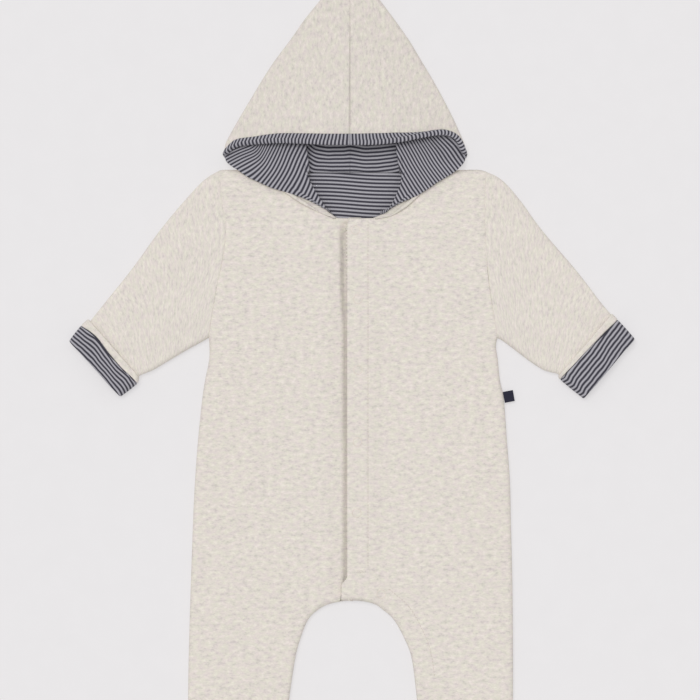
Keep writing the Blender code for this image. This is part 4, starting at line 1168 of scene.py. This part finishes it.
def makeHoodLining(side, edgeNormals):
    grid, ts = hoodSurface(side, cloth["wall"] + 0.3 + cloth["lining"])
    count = liningStripes(side, grid, ts)
    columns = grid.shape[1]
    flat = grid.reshape(-1, 3)
    seen = ease((np.arange(columns) - topColumns - 6) / 4.0)
    onWall = ease((ts - hood["creaseAt"] - 0.01) / 0.02)[:, None]
    creases, pockets = (pressed(flat[:, :2], marks[side]).reshape(grid.shape[:2])
                        for marks in (liningCreases, wallPockets))
    grid[:, :, 2] += creases * seen * (1.0 - onWall)
    grid[:, :, 2] += pockets * seen * onWall
    run = lengthAlong(grid) / stripes["pitch"]
    # how far from the face edge the lining begins, from the corner to the centre front
    fromCorner = towardsFront(columns)
    inward = unit(grid[3] - grid[0])
    bare = hood["bare"][side] * ease((fromCorner - 0.45) / 0.34)
    start = np.where(fromCorner > 0.0, -0.3 + bare, 0.8)
    far = np.linalg.norm(grid - grid[:1], axis=2)
    room = np.where(far < 12.0, start * (1.0 - far / 12.0), 0.0)
    points = grid + inward * room[..., None]
    length = lengthAlong(points[0])
    here = ease((length[-1] - length) / 9.0)[:, None]
    lip = [points[0] - inward * 0.1 + edgeNormals * down * here for down in (2.2, 1.4, 0.7)]
    points = np.concatenate([lip, points])
    uv = np.stack([np.concatenate([rows[:1]] * 3 + [rows]) for rows in (run, count)], axis=-1)
    piece = clothPiece("hoodLiningCloth_" + side, "hood_lining_" + side, points, uv, stripedLining,
                       cloth["lining"], inside=True)


binding = {
    "outside": {"left": ((-125, 6.0), (-118, 7.2), (-113, 6.8), (-107, 6.0), (-99, 5.6), (-88, 6.7),
                         (-75, 7.4), (-50, 7.6), (-25, 8.3), (0, 8.5)),
                "right": ((0, 8.5), (22, 8.9), (47, 7.9), (66, 5.2), (81, 4.3), (91, 3.9), (100, 4.1),
                          (111, 4.5))},
    "inside": 6.0,
    "height": 1.3,
    "lip": 1.2,  # how far it goes over the edge
    "middleLip": 1.2,  # more of it in the middle
    "past": 11,  # columns that it goes on round the corner of the mouth
}


def makeBinding(side, grid, normals):
    last = topColumns + binding["past"]
    far = lengthAlong(grid)
    edge = grid[0, :last]
    n0 = normals[0, :last]
    inward = unit(grid[2, :last] - edge)
    ending = ease((np.arange(last)[::-1]) / (binding["past"] + 3.0))  # narrows round the corner
    widths = np.array(binding["outside"][side])
    outLength = np.interp(edge[:, 0], widths[:, 0], widths[:, 1]) * (0.1 + 0.9 * ending)
    inLength = binding["inside"] * ending + 0.4
    lip = binding["lip"] * (0.3 + 0.7 * ending) + binding["middleLip"] * np.exp(-(edge[:, 0] / 42.0) ** 2)
    thick = (cloth["wall"] + 1.0 + binding["height"]) * (0.55 + 0.45 * ending)
    profile = []
    for share in np.linspace(1.0, 0.0, 11):
        height = binding["height"] * math.sin(math.pi / 2 * min(1.0, (1.0 - share) * 3.2)) ** 0.7
        profile.append(fromEdge(grid, far, outLength * share)
                       + fromEdge(normals, far, outLength * share) * (height if share < 1.0 else -0.4))
    for a in np.linspace(18, 162, 9):
        lean = math.radians(a)
        profile.append(edge - inward * (lip * math.sin(lean))[:, None]
                       + n0 * (binding["height"] - thick / 2 * (1.0 - math.cos(lean)))[:, None])
    for share in (0.0, 0.35, 0.7, 1.0):
        inside = inward * (inLength * share)[:, None]
        profile.append(edge + inside + n0 * (binding["height"] - thick)[:, None])
    points = np.array(profile)
    run = lengthAlong(edge) / stripes["bindingPitch"] + 0.25
    overBand = lengthAlong(points) / stripes["pitch"]
    lean = 0.35 * np.sin(edge[:, 0] / 19.0)[None] * overBand / 3.0  # the stripes don't run quite straight
    uv = np.stack([overBand, run[None] + lean], axis=-1)
    piece = clothPiece("hoodBindingCloth_" + side, "hood_binding_" + side, points, uv, stripedLining,
                       0.5)


neckFacing = {
    "y": (145, 150, 165, 180, 194.6),
    "left": (-20, -24, -34, -41.5, -45),  # its edges at these heights
    "right": (30, 35, 46, 50, 50),
    "rows": 46,
    "columns": 61,
    "lowest": 145.5,
    "height": 4.3,
}


def makeNeckLining():
    rows = []
    seamY = neckFacing["y"][-1]
    for y in np.linspace(seamY, neckFacing["lowest"], neckFacing["rows"]):
        left, right = (np.interp(y, neckFacing["y"], neckFacing[side]) for side in sides)
        x = np.linspace(left, right, neckFacing["columns"])
        z = (neckFacing["height"] + 0.25 * np.sin(x / 9.0 + y / 21.0)
             + 0.9 * np.exp(-((y - seamY) / 2.0) ** 2))
        rows.append(np.stack([x, np.full(len(x), y), z], axis=1))
    points = np.array(rows)
    x, y = points[:, :, 0], points[:, :, 1]
    uv = np.stack([x / stripes["pitch"], neckCount(x, y) + 0.10 * np.sin(x / 11.0)], axis=-1)
    piece = clothPiece("neckLiningCloth", "neck_lining", points, uv, stripedLining,
                       cloth["lining"])


for side in sides:
    makeHood(side)
makeNeckLining()
print("hood made")

# sewing and small parts
stitch = {
    "pitch": 3.1,
    "size": (2.3, 0.5, 0.4),  # length, width and height of one stitch
    "tackSize": (2.6, 0.8, 0.6),  # the short bar that closes the placket below
    "tackStart": (5.0, -194.0),
    "tackStep": 0.95,
    "tackCount": 9,
    "edgeSize": (1.7, 1.9, 1.2),  # sewn edge of the placket, seen in the gap
    "edgeStart": (-5.1, 137.0),
    "edgeStep": 3.7,
    "edgeCount": 16,
}
snap = {"ring": 4.2, "wire": 0.42, "sunk": 0.2}
tab = {"corners": ((147.0, -19.0), (157.0, -17.1), (158.9, -27.8), (149.1, -29.7)), "height": 5.2,
       "points": 16, "thick": 1.0, "edge": 0.35}


def beads(name, places, size, finish):
    # short stitches: places are x, y, z and the direction of the seam, size is length, width, height
    shape = bmesh.new()
    half = [s * mm / 2 for s in size]
    for x, y, z, turn in places:
        place = (Matrix.Translation((x * mm, y * mm, z * mm)) @ Matrix.Rotation(turn, 4, "Z")
                 @ Matrix.Diagonal((*half, 1.0)))
        bmesh.ops.create_uvsphere(shape, u_segments=6, v_segments=4, radius=1.0, matrix=place)
    mounted(addPiece(name, shape, finish))


bpy.context.view_layer.update()
rightFront = bpy.data.objects["frontCloth_right"].evaluated_get(bpy.context.evaluated_depsgraph_get())


def overRight(x, y):  # height of the right front's upper side over the floor
    hit, place, _, _ = rightFront.ray_cast(Vector((x * mm, y * mm, 0.1)), Vector((0, 0, -1)))
    return place.z / mm if hit else cloth["laid"]


def stitchesAlong(curve):
    count = int(curveLength(curve) / stitch["pitch"])
    found = []
    for k in range(count):
        a = along(curve, (k + 0.2) / count)
        b = along(curve, (k + 0.8) / count)
        middle = (a + b) / 2
        found.append((*middle, overRight(*middle) + 0.1, math.atan2(b[1] - a[1], b[0] - a[0])))
    return found


placketLine = np.array(((front["stitchX"], 148.0), (front["stitchX"], -190.0)))
beads("placket_stitches", stitchesAlong(placketLine), stitch["size"], threadFinish)
legIn = line["legIn"]["right"]
tangent = unit(np.gradient(legIn, axis=0))
archLine = legIn + np.stack([-tangent[:, 1], tangent[:, 0]], axis=1) * front["archStitch"]
archLine = archLine[(archLine[:, 0] > 34) & (archLine[:, 1] > -300)]
beads("leg_stitches", stitchesAlong(archLine), stitch["size"], threadFinish)
startX, y = stitch["tackStart"]
tack = [(x, y, overRight(x, y) + 0.25, math.pi / 2)
        for x in (startX + k * stitch["tackStep"] for k in range(stitch["tackCount"]))]
beads("placket_tack", tack, stitch["tackSize"], paleThread)
startX, startY = stitch["edgeStart"]
overlock = []
for k in range(stitch["edgeCount"]):
    y = startY - stitch["edgeStep"] * k
    depth = 1.5 + 0.05 * k  # under the placket's surface beside it
    overlock.append((startX + 0.02 * k, y, overRight(startX + 1.2, y) - depth, 0.15 * (-1) ** k))
beads("placket_overlock", overlock, stitch["edgeSize"], paleThread)


def makeSnap(number, x, y):
    shape = bmesh.new()
    section = Matrix.Translation((snap["ring"] * mm, 0, 0)) @ Matrix.Rotation(math.pi / 2, 4, "X")
    bmesh.ops.create_circle(shape, segments=10, radius=snap["wire"] * mm, matrix=section)
    bmesh.ops.spin(shape, geom=shape.verts[:] + shape.edges[:], cent=(0, 0, 0), axis=(0, 0, 1),
                   dvec=(0, 0, 0), angle=2 * math.pi, steps=40, use_merge=True)
    bmesh.ops.recalc_face_normals(shape, faces=shape.faces[:])
    for vert in shape.verts:
        px = x + vert.co.x / mm
        py = y + vert.co.y / mm
        vert.co = (px * mm, py * mm, vert.co.z + (overRight(px, py) - snap["sunk"]) * mm)
    mounted(addPiece("snap_ring_%d" % number, shape, snapFinish), "snap_%d" % number)


for number, (x, y) in enumerate(snapPlaces):
    makeSnap(number + 1, x, y)


def makeTab():
    corners = np.array(tab["corners"])
    shares = np.linspace(0.0, 1.0, tab["points"])
    rows = []
    for v in shares:
        left = corners[0] + (corners[3] - corners[0]) * v
        right = corners[1] + (corners[2] - corners[1]) * v
        rows.append([(*(left + (right - left) * u), tab["height"] - 0.5 * u ** 2 + 0.1 * math.sin(6 * v))
                     for u in shares])
    points = np.array(rows)
    piece = clothPiece("side_tab", "side_label", points, points[:, :, :2] / cm, tabFinish,
                       tab["thick"])
    soft = piece.modifiers.new("soft edge", "BEVEL")
    soft.width = tab["edge"] * mm
    soft.segments = 2


makeTab()
print("sewing, snaps and tab made")

# floor, light and camera
studio = {
    "floor": (0.822, 0.807, 0.815),
    "glow": 0.6,  # share of the floor's brightness that shadows don't dim
    "world": 0.55,
    "key": 1.38,
    "keyWidth": 0.6,  # how wide the soft light is seen, in radians
    "keyFrom": (-0.2, 0.3, 1.25),
    "distance": 6.0,
    "middle": (-1.95, 21.9),  # of the picture
    "width": 682.5,  # what the picture is wide
}
glow = studio["glow"]
paleFloor = [c * (1.0 - glow) for c in studio["floor"]]
floorFinish, floorTree, floorShader = newMaterial("paleFloor", paleFloor, 0.9, 0.0)
addGrain(floorTree, floorShader, paleFloor, 40.0, 2.0, 0.985, 1.015)
floorShader.inputs["Emission Color"].default_value = (*studio["floor"], 1.0)
floorShader.inputs["Emission Strength"].default_value = glow
floorShape = bmesh.new()
bmesh.ops.create_grid(floorShape, x_segments=1, y_segments=1, size=4.0)
floor = addPiece("floor", floorShape, floorFinish)
floor.location.z = -0.0002

world = bpy.data.worlds.new("studio")
world.use_nodes = True
world.node_tree.nodes["Background"].inputs["Color"].default_value = (1.0, 0.995, 1.0, 1.0)
world.node_tree.nodes["Background"].inputs["Strength"].default_value = studio["world"]
bpy.context.scene.world = world
bpy.context.scene.view_settings.view_transform = "Standard"

lamp = bpy.data.lights.new("softKey", "SUN")
lamp.energy = studio["key"]
lamp.angle = studio["keyWidth"]
key = bpy.data.objects.new("softKey", lamp)
key.rotation_mode = "QUATERNION"
key.rotation_quaternion = (-Vector(studio["keyFrom"])).to_track_quat("-Z", "Y")
bpy.context.scene.collection.objects.link(key)

camera = bpy.data.cameras.new("above")
camera.lens = camera.sensor_width * studio["distance"] / (studio["width"] * mm)
camera.clip_end = 100.0
view = bpy.data.objects.new("above", camera)
view.location = (studio["middle"][0] * mm, studio["middle"][1] * mm, studio["distance"] + 0.0095)
bpy.context.scene.collection.objects.link(view)
bpy.context.scene.camera = view
